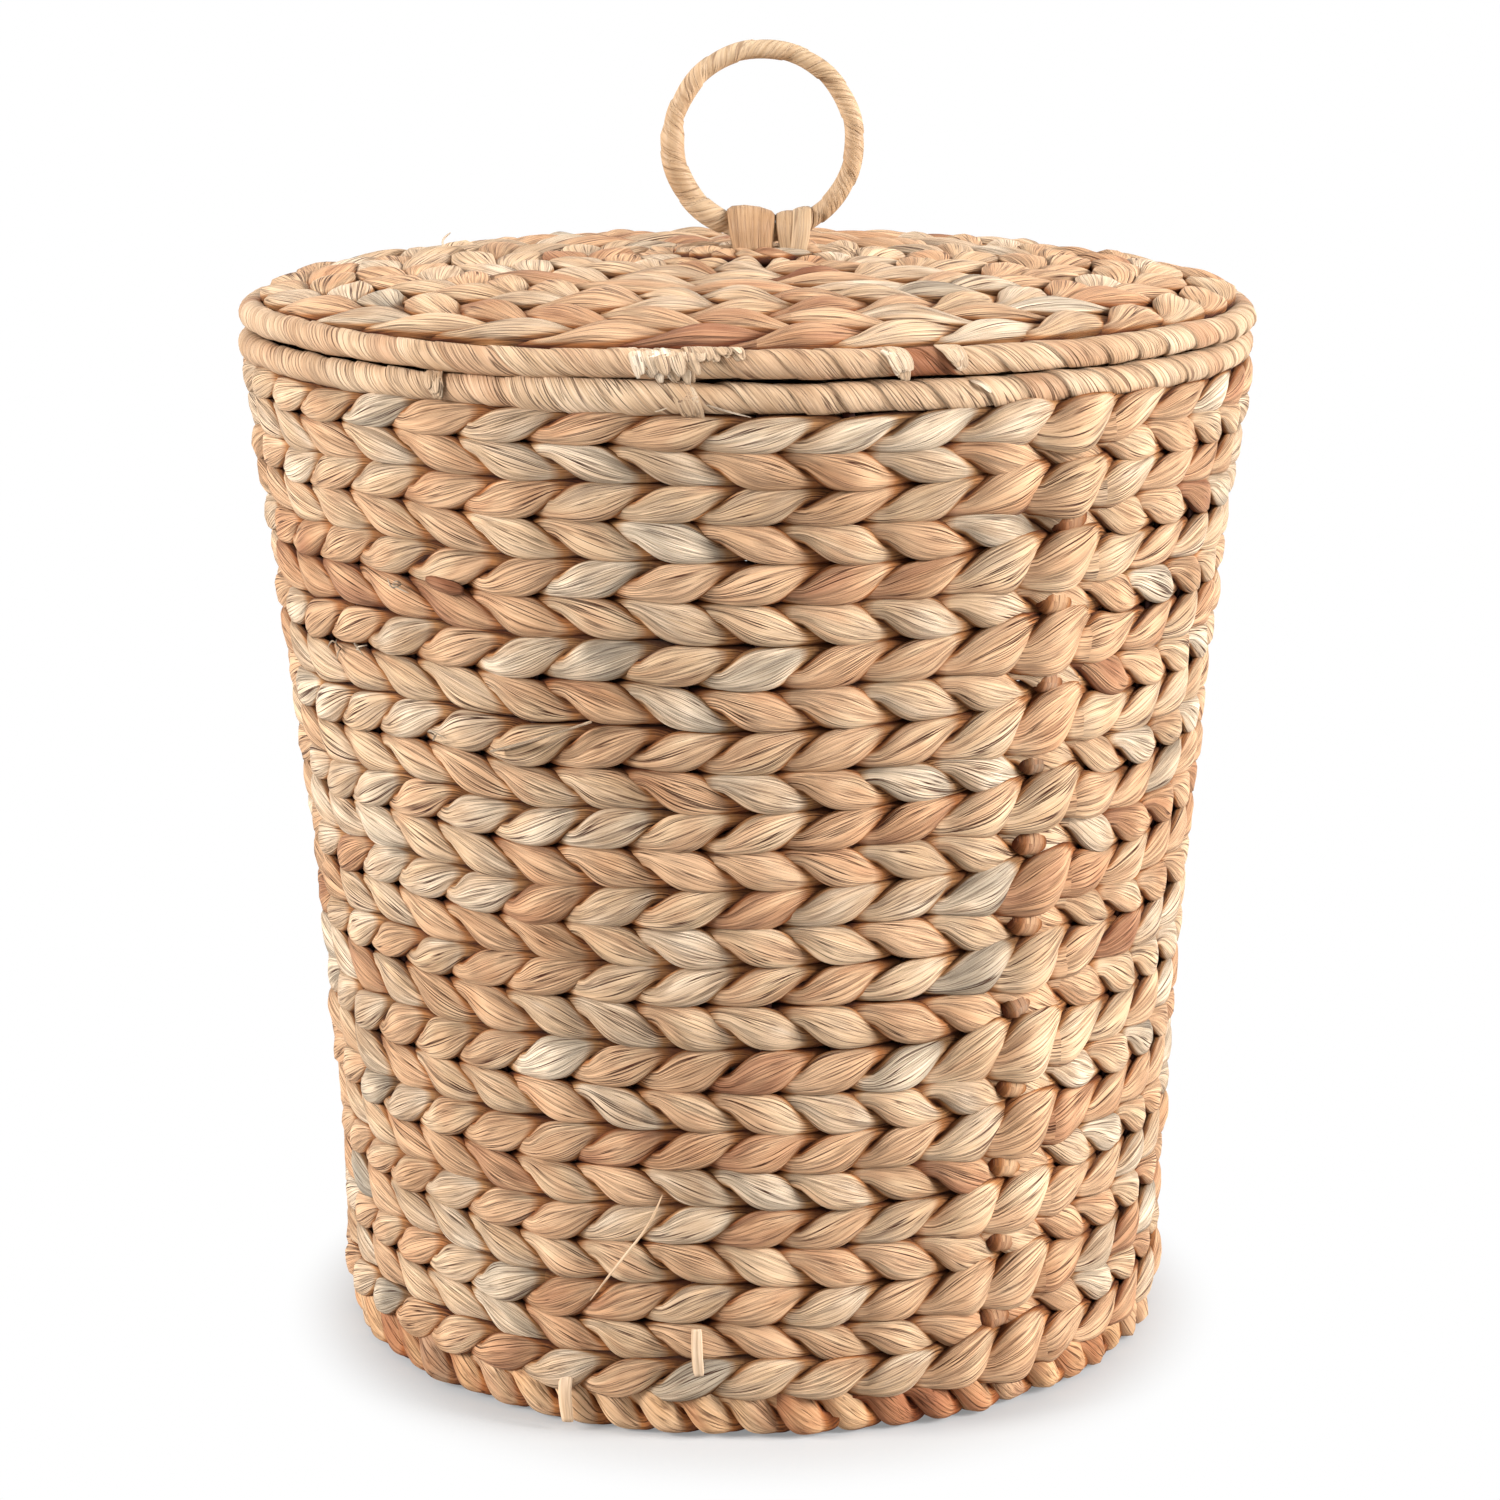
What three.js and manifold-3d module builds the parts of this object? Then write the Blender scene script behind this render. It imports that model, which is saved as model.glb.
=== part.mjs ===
// A round basket twined from plant fibre, with a domed lid that lifts off and a ring handle tied to the lid.
// Millimetres, +Z up. The origin is on the floor, under the middle of the basket. The front looks along -Y.
// Angles run round the basket from the front towards +X, so that they grow to the right on the outside.
import * as THREE from 'three';
import { mergeVertices } from 'three/addons/utils/BufferGeometryUtils.js';
import Module from 'manifold-3d';

const wasm = await Module();
wasm.setup();

// Whole basket
const topOuterRadius = 152.5;
const footStakeRadius = 122.2;
const flareShare = 0.65;
const clearance = 0.3;

// Stakes, which the wall is twined on
const stakeCount = 40;
const firstStakeDegrees = 1.6;
const stakeWidth = 3.3;
const stakeThickness = 1.5;
const stakeRunCount = 3;

// Twining
const wallRoundCount = 25;
const wallRoundHeight = 11.35;
const leafHeight = 3.8;
const dipShare = 0.35;

// Foot
const footHeight = 16.5;
const footHoopHeight = 9.5;
const footHoopRadius = 2.2;
const footWidth = 12.7;
const footStandWidth = 6;
const footStandEdge = 2.4;
const footInnerShare = 0.95;
const footLowShare = 0.8;
const footTopShare = 0.7;

// Base
const baseSpokeCount = 20;
const baseHubRadius = 16;
const baseRoundCount = 5;

// Rolls round the rim and the lid
const rimRollDiameter = 8.6;
const lidRollDiameter = 8.4;
const hoopDiameter = 3;
const rollCornerCount = 7;
const hoopCornerCount = 4;

// Lid
const lidSpokeCount = 32;
const lidRise = 9.5;
const lidFullness = 4;
const lidSeatDegrees = 130;
const lidRoundCount = 9;
const lidWideRoundCount = 5;
const lidStartRadius = 20;
const lidStartRim = 2.2;
const lidHubRadius = 13;
const lidStartStep = 6;

// Ring handle and its ties
const ringOuterDiameter = 60.5;
const ringTubeDiameter = 6;
const ringHoopDiameter = 2.4;
const ringOffset = 3.1;
const ringStepCount = 24;
const tieThickness = 1.8;
const tieWidth = 11.2;
const tieGap = 0.7;
const archStepCount = 8;

// Worked out from the sizes above
const rimStakeRadius = topOuterRadius - rimRollDiameter / 2;
const firstStakeTurn = THREE.MathUtils.degToRad(firstStakeDegrees);
const stakeSeat = stakeThickness / 2 + clearance + dipShare * stakeWidth / 2;
const wallBottom = footHeight + clearance;
const wallTop = wallBottom + wallRoundCount * wallRoundHeight;
const stakeSag = (rimStakeRadius - footStakeRadius) * flareShare / (4 * stakeRunCount ** 2);
const rimRollHeight = wallTop + clearance + rimRollDiameter / 2;
const lidRollHeight = rimRollHeight + rimRollDiameter / 2 + clearance + lidRollDiameter / 2;
const lidRollRadius = topOuterRadius - lidRollDiameter / 2;
const lidSeat = polarPoint(lidRollDiameter / 2 + clearance, THREE.MathUtils.degToRad(lidSeatDegrees));
const lidEdgeRadius = lidRollRadius + lidSeat.x;
const lidEdgeHeight = lidRollHeight + lidSeat.y;
const lidCrownHeight = lidEdgeHeight + lidRise;
const lidRoundWidth = (lidEdgeRadius - lidStartRadius) / lidRoundCount;
const lidStartTop = lidCrownHeight + lidStartStep;
const ringRadius = (ringOuterDiameter - ringTubeDiameter) / 2;
const ringPivotHeight = lidStartTop + clearance + ringTubeDiameter / 2;

// Materials
const fibre = { color: 0xc9a57c, roughness: 0.82, metalness: 0 };
const paleFibre = { color: 0xd6b78f, roughness: 0.78, metalness: 0 };
const footFibre = { color: 0xa98258, roughness: 0.85, metalness: 0 };
const stakeCane = { color: 0xdcc7a2, roughness: 0.7, metalness: 0 };
const hoopWire = { color: 0x4d4a46, roughness: 0.5, metalness: 0.8 };

function polarPoint(radius, angle) {
  return new THREE.Vector2(radius * Math.cos(angle), radius * Math.sin(angle));
}

function placeRound(radius, turn, height) {
  return new THREE.Vector3(radius * Math.sin(turn), -radius * Math.cos(turn), height);
}

function turnOf(step, count) {
  return 2 * Math.PI * step / count;
}

function steps(count) {
  return Array.from({ length: count }, (unused, step) => step);
}

// Radius of the circle of stakes at a height: the wall flares little at the foot and more towards the rim.
function stakeRadius(height) {
  const share = height / rimRollHeight;
  const flare = (1 - flareShare) * share + flareShare * share ** 2;
  return footStakeRadius + (rimStakeRadius - footStakeRadius) * flare;
}

// Height of the lid's twining at a radius, and the direction out of it there.
function lidHeight(radius) {
  return lidCrownHeight - lidRise * (radius / lidEdgeRadius) ** lidFullness;
}

function lidNormal(radius) {
  const slope = lidRise * lidFullness * radius ** (lidFullness - 1) / lidEdgeRadius ** lidFullness;
  return new THREE.Vector2(slope, 1).normalize();
}

// Solids and geometry
function closedGeometry(points, faces) {
  const geometry = new THREE.BufferGeometry();
  geometry.setAttribute('position', new THREE.Float32BufferAttribute(points.flatMap((p) => p.toArray()), 3));
  geometry.setIndex(faces.flat());
  return geometry;
}

function toSolid(geometry) {
  const bare = geometry.clone();
  bare.deleteAttribute('normal');
  bare.deleteAttribute('uv');
  const merged = mergeVertices(bare);
  return new wasm.Manifold(new wasm.Mesh({
    numProp: 3,
    vertProperties: new Float32Array(merged.attributes.position.array),
    triVerts: new Uint32Array(merged.index.array),
  }));
}

function joined(geometries) {
  const whole = geometries.map(toSolid).reduce((sum, solid) => sum.add(solid)).getMesh();
  const geometry = new THREE.BufferGeometry();
  geometry.setAttribute('position', new THREE.BufferAttribute(whole.vertProperties, whole.numProp));
  geometry.setIndex(new THREE.BufferAttribute(whole.triVerts, 1));
  return geometry;
}

// A closed outline, listed counterclockwise with the radius to the right, turned round the Z axis.
function revolved(outline, stepCount, firstTurn = 0) {
  const geometry = new THREE.LatheGeometry([...outline, outline[0]], stepCount, firstTurn);
  return geometry.rotateX(Math.PI / 2);
}

// Section of a hoop, with a flat side up. halfWidth is measured to its flat sides.
function hoopOutline(radius, height, halfWidth) {
  const centre = new THREE.Vector2(radius, height);
  const toCorner = halfWidth / Math.cos(Math.PI / hoopCornerCount);
  const corner = (step) => polarPoint(toCorner, turnOf(step + 1 / 2, hoopCornerCount)).add(centre);
  return steps(hoopCornerCount).map(corner);
}

// Section of a wrapped roll: round outside, with a slot for the hoop. openTurn is the way the slot looks.
function rollOutline(radius, height, halfWidth, slotHalfWidth, openTurn) {
  const lip = Math.asin(slotHalfWidth / halfWidth);
  const sweep = 2 * (Math.PI - lip) / (rollCornerCount - 1);
  const outside = steps(rollCornerCount).map((step) => polarPoint(halfWidth, lip + step * sweep));
  const slotEnd = [-slotHalfWidth, slotHalfWidth].map((across) => new THREE.Vector2(-slotHalfWidth, across));
  const centre = new THREE.Vector2(radius, height);
  return [...outside, ...slotEnd].map((p) => p.rotateAround(new THREE.Vector2(), openTurn).add(centre));
}

function extruded(outline, depth) {
  return new THREE.ExtrudeGeometry(new THREE.Shape(outline), { depth, bevelEnabled: false });
}

// A flat strip whose side outline is given in the radius and height at one turn round the basket.
function strip(sideOutline, turn, width) {
  const geometry = extruded(sideOutline, width);
  const outwards = placeRound(1, turn, 0);
  const upwards = new THREE.Vector3(0, 0, 1);
  const sideways = new THREE.Vector3().crossVectors(outwards, upwards);
  geometry.translate(0, 0, -width / 2);
  return geometry.applyMatrix4(new THREE.Matrix4().makeBasis(outwards, upwards, sideways));
}

// One round of twining. Over each stake a leaf of strand stands out to its peak. Between two stakes the
// strands cross and sink to a dip, so that every stake lies in a groove. Leaves lean right (1) or left (-1).
function twinedRound(count, lean, upper, lower, peak, dip) {
  const rings = [upper, lower, peak, dip];
  const points = rings.flatMap((place) => steps(count).map(place));
  const corner = (ring, k) => rings.indexOf(ring) * count + (k + count) % count;
  const next = (outline, side) => outline[(side + 1) % outline.length];
  const fan = (outline, apex) => outline.map((point, side) => [point, next(outline, side), apex]);
  const faces = steps(count).flatMap((k) => {
    const low = lean > 0 ? k - 1 : k;
    const high = lean > 0 ? k + 1 : k;
    const leaf = [corner(lower, low), corner(lower, low + 1), corner(upper, high), corner(upper, high - 1)];
    const gap = [corner(upper, k), corner(upper, k + 1), corner(lower, k + 1), corner(lower, k)];
    return [...fan(leaf, corner(peak, k)), ...fan(gap, corner(dip, k))];
  });
  return closedGeometry(points, faces);
}

function wallRound(index) {
  const low = wallBottom + index * wallRoundHeight + clearance / 2;
  const high = low + wallRoundHeight - clearance;
  const middle = (low + high) / 2;
  const turn = (k) => firstStakeTurn + turnOf(k, stakeCount);
  const edge = (height) => stakeRadius(height) + stakeSeat;
  const dipDepth = dipShare * edge(middle) * Math.sin(turnOf(1, stakeCount) / 2);
  return twinedRound(
    stakeCount,
    index % 2 === 0 ? 1 : -1,
    (k) => placeRound(edge(high), turn(k), high),
    (k) => placeRound(edge(low), turn(k), low),
    (k) => placeRound(edge(middle) + leafHeight, turn(k), middle),
    (k) => placeRound(edge(middle) - dipDepth, turn(k + 1 / 2), middle),
  );
}

function lidRound(index) {
  const inner = lidStartRadius + index * lidRoundWidth + clearance / 2;
  const outer = inner + lidRoundWidth - clearance;
  const middle = (inner + outer) / 2;
  const count = index < lidWideRoundCount ? lidSpokeCount / 2 : lidSpokeCount;
  const normal = lidNormal(middle);
  const dipDepth = dipShare * middle * Math.sin(turnOf(1, count) / 2);
  const offLid = (depth, k) => {
    const turn = turnOf(k, count);
    return placeRound(middle + normal.x * depth, turn, lidHeight(middle) + normal.y * depth);
  };
  return twinedRound(
    count,
    index % 2 === 0 ? 1 : -1,
    (k) => placeRound(inner, turnOf(k, count), lidHeight(inner)),
    (k) => placeRound(outer, turnOf(k, count), lidHeight(outer)),
    (k) => offLid(leafHeight, k),
    (k) => offLid(-dipDepth, k + 1 / 2),
  );
}

// The base is twined on spokes of its own, one to every second stake. Its leaves face down.
function baseRound(index) {
  const first = baseHubRadius + clearance;
  const width = (footStakeRadius - footWidth / 2 - clearance - first) / baseRoundCount;
  const inner = first + index * width + clearance / 2;
  const outer = inner + width - clearance;
  const middle = (inner + outer) / 2;
  const height = footHoopHeight - stakeSeat;
  const dipDepth = dipShare * middle * Math.sin(turnOf(1, baseSpokeCount) / 2) / 2;
  const turn = (k) => firstStakeTurn + turnOf(k, baseSpokeCount);
  return twinedRound(
    baseSpokeCount,
    index % 2 === 0 ? 1 : -1,
    (k) => placeRound(outer, turn(k), height),
    (k) => placeRound(inner, turn(k), height),
    (k) => placeRound(middle, turn(k), height - leafHeight),
    (k) => placeRound(middle, turn(k + 1 / 2), height + dipDepth),
  );
}

// Wall stakes, and the hoop that they are turned round at the foot. Its corners lie between the stakes.
function wallStakes() {
  const top = rimRollHeight - hoopDiameter / 2 - clearance;
  const run = (top - footHoopHeight) / stakeRunCount;
  const heights = steps(stakeRunCount + 1).map((step) => footHoopHeight + step * run);
  const stakeLine = (offset) => heights.map((height) => {
    return new THREE.Vector2(stakeRadius(height) - stakeSag + offset, height);
  });
  const stakeOutline = [...stakeLine(stakeThickness / 2), ...stakeLine(-stakeThickness / 2).reverse()];
  const stakes = steps(stakeCount).map((k) => {
    return strip(stakeOutline, firstStakeTurn + turnOf(k, stakeCount), stakeWidth);
  });
  const hoop = revolved(
    hoopOutline(footStakeRadius, footHoopHeight, footHoopRadius),
    stakeCount,
    firstStakeTurn + turnOf(1 / 2, stakeCount),
  );
  return joined([hoop, ...stakes]);
}

// Spokes of the base, which cross at its hub and end at the flat sides of the foot's hoop.
function baseSpokes() {
  const end = (footStakeRadius - footHoopRadius) * Math.cos(Math.PI / stakeCount) - clearance;
  const outline = barOutline(baseHubRadius - stakeThickness, end, footHoopHeight);
  const spokes = steps(baseSpokeCount).map((k) => {
    return strip(outline, firstStakeTurn + turnOf(k, baseSpokeCount), stakeWidth);
  });
  return joined([hub(baseHubRadius, footHoopHeight, baseSpokeCount, firstStakeTurn), ...spokes]);
}

function barOutline(from, to, height) {
  const [under, over] = [height - stakeThickness / 2, height + stakeThickness / 2];
  return [[from, under], [to, under], [to, over], [from, over]].map(([x, y]) => new THREE.Vector2(x, y));
}

// Where the spokes cross, two layers of them lie on each other. The hub has a flat side for every spoke.
function hub(radius, height, spokeCount, firstTurn) {
  const outline = [
    new THREE.Vector2(0, height - stakeThickness),
    new THREE.Vector2(radius, height - stakeThickness),
    new THREE.Vector2(radius, height + stakeThickness),
    new THREE.Vector2(0, height + stakeThickness),
  ];
  const geometry = new THREE.LatheGeometry(outline, spokeCount, firstTurn + turnOf(1 / 2, spokeCount));
  return geometry.rotateX(Math.PI / 2);
}

// The foot's wrap passes under the hoop and up its outside. It is open towards the base and the stakes.
function footWrap() {
  const across = (share) => footStakeRadius + share * footWidth / 2;
  const stakeSide = footStakeRadius + footHoopRadius + clearance;
  const underHoop = footHoopHeight - footHoopRadius - clearance;
  const standIn = across(0) - footStandWidth / 2;
  const outline = [
    new THREE.Vector2(standIn, 0),
    new THREE.Vector2(standIn + footStandWidth, 0),
    new THREE.Vector2(across(footLowShare), footStandEdge),
    new THREE.Vector2(across(1), footHoopHeight),
    new THREE.Vector2(across(footTopShare), footHeight),
    new THREE.Vector2(stakeSide, footHeight),
    new THREE.Vector2(stakeSide, underHoop),
    new THREE.Vector2(across(-footInnerShare), underHoop),
    new THREE.Vector2(across(-1), footStandEdge),
  ];
  return revolved(outline, stakeCount, firstStakeTurn + turnOf(1 / 2, stakeCount));
}

function rimHoop() {
  return revolved(hoopOutline(rimStakeRadius, rimRollHeight, hoopDiameter / 2), stakeCount, firstStakeTurn);
}

function rimWrap() {
  const slot = hoopDiameter / 2 + clearance;
  const outline = rollOutline(rimStakeRadius, rimRollHeight, rimRollDiameter / 2, slot, -Math.PI / 2);
  return revolved(outline, stakeCount, firstStakeTurn);
}

function lidWrap() {
  const slot = hoopDiameter / 2 + clearance;
  const outline = rollOutline(lidRollRadius, lidRollHeight, lidRollDiameter / 2, slot, Math.PI);
  return revolved(outline, lidSpokeCount);
}

// Side outline of a lid spoke between two radii. It follows the twining from below, then turns down to the
// roll.
function lidSpokeOutline(from, to) {
  const bend = lidEdgeRadius - lidRoundWidth;
  const inRoll = [lidRollRadius - lidRollDiameter / 2, to];
  const level = inRoll.map((radius) => new THREE.Vector2(radius, lidRollHeight));
  const along = [from, bend].map((radius) => new THREE.Vector2(radius, lidHeight(radius) - stakeSeat));
  const line = [...along, ...level];
  const side = (offset) => line.map((p) => new THREE.Vector2(p.x, p.y + offset));
  return [...side(-stakeThickness / 2), ...side(stakeThickness / 2).reverse()];
}

function lidSpokes() {
  const count = lidSpokeCount / 2;
  const end = lidRollRadius - hoopDiameter / 2 - clearance;
  const outline = lidSpokeOutline(lidHubRadius - stakeThickness, end);
  const spokes = steps(count).map((k) => strip(outline, turnOf(k, count), stakeWidth));
  return joined([hub(lidHubRadius, lidCrownHeight - stakeSeat, count, 0), ...spokes]);
}

// Short spokes fill in between the long ones where the lid grows wide. They are turned round the lid's hoop.
function lidHoop() {
  const count = lidSpokeCount / 2;
  const from = lidStartRadius + lidWideRoundCount * lidRoundWidth;
  const outline = lidSpokeOutline(from, lidRollRadius);
  const spokes = steps(count).map((k) => strip(outline, turnOf(k + 1 / 2, count), stakeWidth));
  const section = hoopOutline(lidRollRadius, lidRollHeight, hoopDiameter / 2);
  return joined([revolved(section, lidSpokeCount), ...spokes]);
}

// The lid's start: a thick flat knot of strand over the crossing of the spokes. The ring handle stands on it.
function lidStart() {
  const edge = lidStartRadius - clearance;
  const under = lidCrownHeight - stakeSeat + stakeThickness + clearance;
  const outline = [
    new THREE.Vector2(0, under),
    new THREE.Vector2(edge, under),
    new THREE.Vector2(edge, lidStartTop - lidStartRim),
    new THREE.Vector2(edge - lidStartRim, lidStartTop),
    new THREE.Vector2(0, lidStartTop),
  ];
  const geometry = new THREE.LatheGeometry(outline, lidSpokeCount / 2);
  return geometry.rotateX(Math.PI / 2);
}

function upright(geometry) {
  return geometry.rotateX(Math.PI / 2).translate(ringOffset, 0, ringPivotHeight + ringRadius);
}

function ringHoop() {
  return upright(revolved(hoopOutline(ringRadius, 0, ringHoopDiameter / 2), ringStepCount));
}

function ringWrap() {
  const slot = ringHoopDiameter / 2 + clearance;
  return upright(revolved(rollOutline(ringRadius, 0, ringTubeDiameter / 2, slot, Math.PI), ringStepCount));
}

// A tie is an arch of strap over the foot of the ring. Its inside leaves room for the bent tube to tilt.
function tie(side) {
  const reach = tieGap / 2 + tieWidth;
  const rise = ringRadius - Math.sqrt(ringRadius ** 2 - reach ** 2);
  const inside = ringTubeDiameter / 2 + rise + clearance;
  const outside = inside + tieThickness;
  const foot = lidStartTop + clearance - ringPivotHeight;
  const arch = (radius) => steps(archStepCount + 1).map((step) => {
    return polarPoint(radius, turnOf(step / 2, archStepCount));
  });
  const outline = [
    new THREE.Vector2(outside, foot),
    ...arch(outside),
    new THREE.Vector2(-outside, foot),
    new THREE.Vector2(-inside, foot),
    ...arch(inside).reverse(),
    new THREE.Vector2(inside, foot),
  ];
  const geometry = extruded(outline, tieWidth);
  geometry.translate(0, 0, side > 0 ? tieGap / 2 : -reach);
  geometry.applyMatrix4(new THREE.Matrix4().makeBasis(
    new THREE.Vector3(0, 1, 0),
    new THREE.Vector3(0, 0, 1),
    new THREE.Vector3(1, 0, 0),
  ));
  return geometry.translate(ringOffset, 0, ringPivotHeight);
}

function addPart(group, name, geometry, finish) {
  const mesh = new THREE.Mesh(geometry, new THREE.MeshStandardMaterial(finish));
  mesh.name = name;
  group.add(mesh);
}

function basketGroup() {
  const group = new THREE.Group();
  addPart(group, 'wall_stakes', wallStakes(), stakeCane);
  addPart(group, 'base_spokes', baseSpokes(), stakeCane);
  addPart(group, 'foot_wrap', footWrap(), footFibre);
  steps(baseRoundCount).forEach((index) => {
    addPart(group, `base_round_${index + 1}`, baseRound(index), fibre);
  });
  steps(wallRoundCount).forEach((index) => {
    addPart(group, `wall_round_${String(index + 1).padStart(2, '0')}`, wallRound(index), fibre);
  });
  addPart(group, 'rim_hoop', rimHoop(), hoopWire);
  addPart(group, 'rim_wrap', rimWrap(), paleFibre);
  return group;
}

function lidGroup() {
  const group = new THREE.Group();
  addPart(group, 'lid_spokes', lidSpokes(), stakeCane);
  addPart(group, 'lid_hoop', lidHoop(), hoopWire);
  addPart(group, 'lid_start', lidStart(), fibre);
  steps(lidRoundCount).forEach((index) => {
    addPart(group, `lid_round_${index + 1}`, lidRound(index), fibre);
  });
  addPart(group, 'lid_wrap', lidWrap(), paleFibre);
  addPart(group, 'tie_left', tie(-1), paleFibre);
  addPart(group, 'tie_right', tie(1), paleFibre);
  return group;
}

function ringGroup() {
  const group = new THREE.Group();
  addPart(group, 'ring_hoop', ringHoop(), hoopWire);
  addPart(group, 'ring_wrap', ringWrap(), paleFibre);
  return group;
}

const basket = new THREE.Group();
basket.add(basketGroup(), lidGroup(), ringGroup());

export default basket;
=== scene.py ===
# A round basket twined from water hyacinth, with a domed lid and a ring handle.
# Metres, +Z up. The front looks along -Y. Turns grow from the front towards +X, to the right on the outside.
import math
import random
import bpy
from mathutils import Matrix, Vector


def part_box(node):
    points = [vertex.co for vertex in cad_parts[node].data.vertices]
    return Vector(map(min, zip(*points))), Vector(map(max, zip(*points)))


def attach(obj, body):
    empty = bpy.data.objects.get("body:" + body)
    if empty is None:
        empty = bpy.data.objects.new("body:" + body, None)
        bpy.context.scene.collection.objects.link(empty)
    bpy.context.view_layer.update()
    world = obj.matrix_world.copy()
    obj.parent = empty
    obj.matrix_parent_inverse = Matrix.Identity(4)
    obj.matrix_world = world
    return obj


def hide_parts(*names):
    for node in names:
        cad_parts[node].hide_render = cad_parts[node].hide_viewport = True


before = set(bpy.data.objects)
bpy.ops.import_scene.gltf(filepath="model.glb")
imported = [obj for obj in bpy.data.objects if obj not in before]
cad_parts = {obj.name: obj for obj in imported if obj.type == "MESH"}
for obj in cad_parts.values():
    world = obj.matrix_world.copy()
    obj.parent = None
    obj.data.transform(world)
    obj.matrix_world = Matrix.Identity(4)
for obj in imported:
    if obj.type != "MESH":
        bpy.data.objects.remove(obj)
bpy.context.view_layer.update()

MM = 0.001
FULL_TURN = 2 * math.pi
IMAGE_SIDE = 1500

# Camera, fitted to the photograph
FOCAL_PIXELS = 3911
SENSOR_WIDTH = 36
CAMERA_PLACE = Vector((-0.0009, -1.1849, 0.4401))
CAMERA_PITCH = math.radians(12.55)

# Wall and its stakes
STAKE_COUNT = 40
FIRST_STAKE_TURN = math.radians(1.6)
STAKE_WIDTH = 3.3 * MM
STAKE_THICKNESS = 1.5 * MM
FOOT_STAKE_RADIUS = 122.2 * MM
RIM_STAKE_RADIUS = 148.2 * MM
RIM_ROLL_HEIGHT = 305.15 * MM
FLARE_SHARE = 0.65
WALL_ROW_COUNT = 25
WALL_ROW_HEIGHT = 11.35 * MM
SEAM_STAKE = 4

# The upper wall leans to the left: how far, and between which heights the lean comes in
LEAN = 1.7 * MM
LEAN_HEIGHTS = (110 * MM, 250 * MM)

# Foot
FOOT_HEIGHT = 14.5 * MM
FOOT_OVERLAP = 1.4 * MM
FOOT_WRAP_COUNT = 58
FOOT_ROLL_RADIUS = FOOT_STAKE_RADIUS - 1.4 * MM

# Strand of the twining
SWING = 2.2 * MM
CLIMB = 4.3 * MM
LEAF_HALF_WIDTH = 7.2 * MM
LEAF_HALF_THICKNESS = 2.6 * MM
LEAD = 0.28
SQUEEZE = 0.6
ROW_GRIP = 3.2

# Seam, where the rounds start and end, and the rise of the rounds there and at the left
SEAM_BULGE = 0.58
SEAM_RISE = 3.4 * MM
SEAM_RISE_START = 80 * MM
SEAM_RISE_SPAN = 90 * MM
SEAM_RISE_END = 305 * MM
SEAM_RISE_FADE = 45 * MM
LEFT_RISE = 2.8 * MM
LEFT_RISE_TURN = math.radians(-52)
LEFT_RISE_HEIGHTS = (200 * MM, 240 * MM)
LEFT_RISE_FADE = 40 * MM

# Rolls of the rim and the lid: radius, height of the middle and half the thickness
RIM_ROLL = (RIM_STAKE_RADIUS, RIM_ROLL_HEIGHT, 4.3 * MM)
LID_ROLL = (148.3 * MM, 313.95 * MM, 4.2 * MM)

# Lid
LID_SPOKE_COUNT = 32
LID_ROW_COUNT = 9
LID_WIDE_ROW_COUNT = 5
LID_RISE = 9.5 * MM
LID_FULLNESS = 4
LID_START_RADIUS = 20 * MM
LID_START_STEP = 6 * MM
LID_START_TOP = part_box("lid_start")[1].z
LID_CROWN_HEIGHT = LID_START_TOP - LID_START_STEP
LID_EDGE_RADIUS = 145.41 * MM
LID_LEAF_HALF_THICKNESS = 3.1 * MM
SPOKE_DEPTH = 1.63 * MM

# Small rounds in the middle: radius, half width and number of stakes
LID_RINGS = [(15.4 * MM, 7.4 * MM, 14), (5 * MM, 5.4 * MM, 6)]

# Base
BASE_SPOKE_COUNT = 20
BASE_ROUND_COUNT = 5
BASE_SPARSE_COUNT = 2
BASE_HUB_RADIUS = 16.3 * MM
BASE_ROUND_WIDTH = 19.85 * MM
BASE_SPOKE_HEIGHT = 9.5 * MM
BASE_SWING = 2.4 * MM
BASE_LEAF_HALF_THICKNESS = 2 * MM
BASE_RINGS = [(11.5 * MM, 5 * MM, 10), (4 * MM, 4.4 * MM, 6)]


# Values in node trees

class Value:
    """A number that a node tree works out over a surface. Arithmetic on it adds Math nodes."""

    def __init__(self, tree, socket):
        self.tree = tree
        self.socket = socket

    def math(self, operation, *others):
        return worked(self.tree, operation, self, *others)

    def __add__(self, other):
        return self.math("ADD", other)

    def __sub__(self, other):
        return self.math("SUBTRACT", other)

    def __rsub__(self, other):
        return worked(self.tree, "SUBTRACT", other, self)

    def __mul__(self, other):
        return self.math("MULTIPLY", other)

    def __truediv__(self, other):
        return self.math("DIVIDE", other)

    def __rtruediv__(self, other):
        return worked(self.tree, "DIVIDE", other, self)

    def __neg__(self):
        return self.math("MULTIPLY", -1)

    __radd__ = __add__
    __rmul__ = __mul__

    def sin(self):
        return self.math("SINE")

    def cos(self):
        return self.math("COSINE")

    def abs(self):
        return self.math("ABSOLUTE")

    def floor(self):
        return self.math("FLOOR")

    def fraction(self):
        return self.math("FRACT")

    def power(self, other):
        return self.math("POWER", other)

    def least(self, other):
        return self.math("MINIMUM", other)

    def most(self, other):
        return self.math("MAXIMUM", other)


def fill(tree, socket, value):
    if isinstance(value, Value):
        value = value.socket
    if isinstance(value, bpy.types.NodeSocket):
        tree.links.new(value, socket)
    else:
        socket.default_value = value


def worked(tree, operation, *values):
    made = tree.nodes.new("ShaderNodeMath")
    made.operation = operation
    for place, value in enumerate(values):
        fill(tree, made.inputs[place], value)
    return Value(tree, made.outputs[0])


def add(tree, kind, inputs, **settings):
    """Adds a node with its settings, and fills its inputs, which are given by name."""
    made = tree.nodes.new(kind)
    for name, setting in settings.items():
        setattr(made, name, setting)
    for name, value in inputs.items():
        fill(tree, made.inputs[name], value)
    return made


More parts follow.
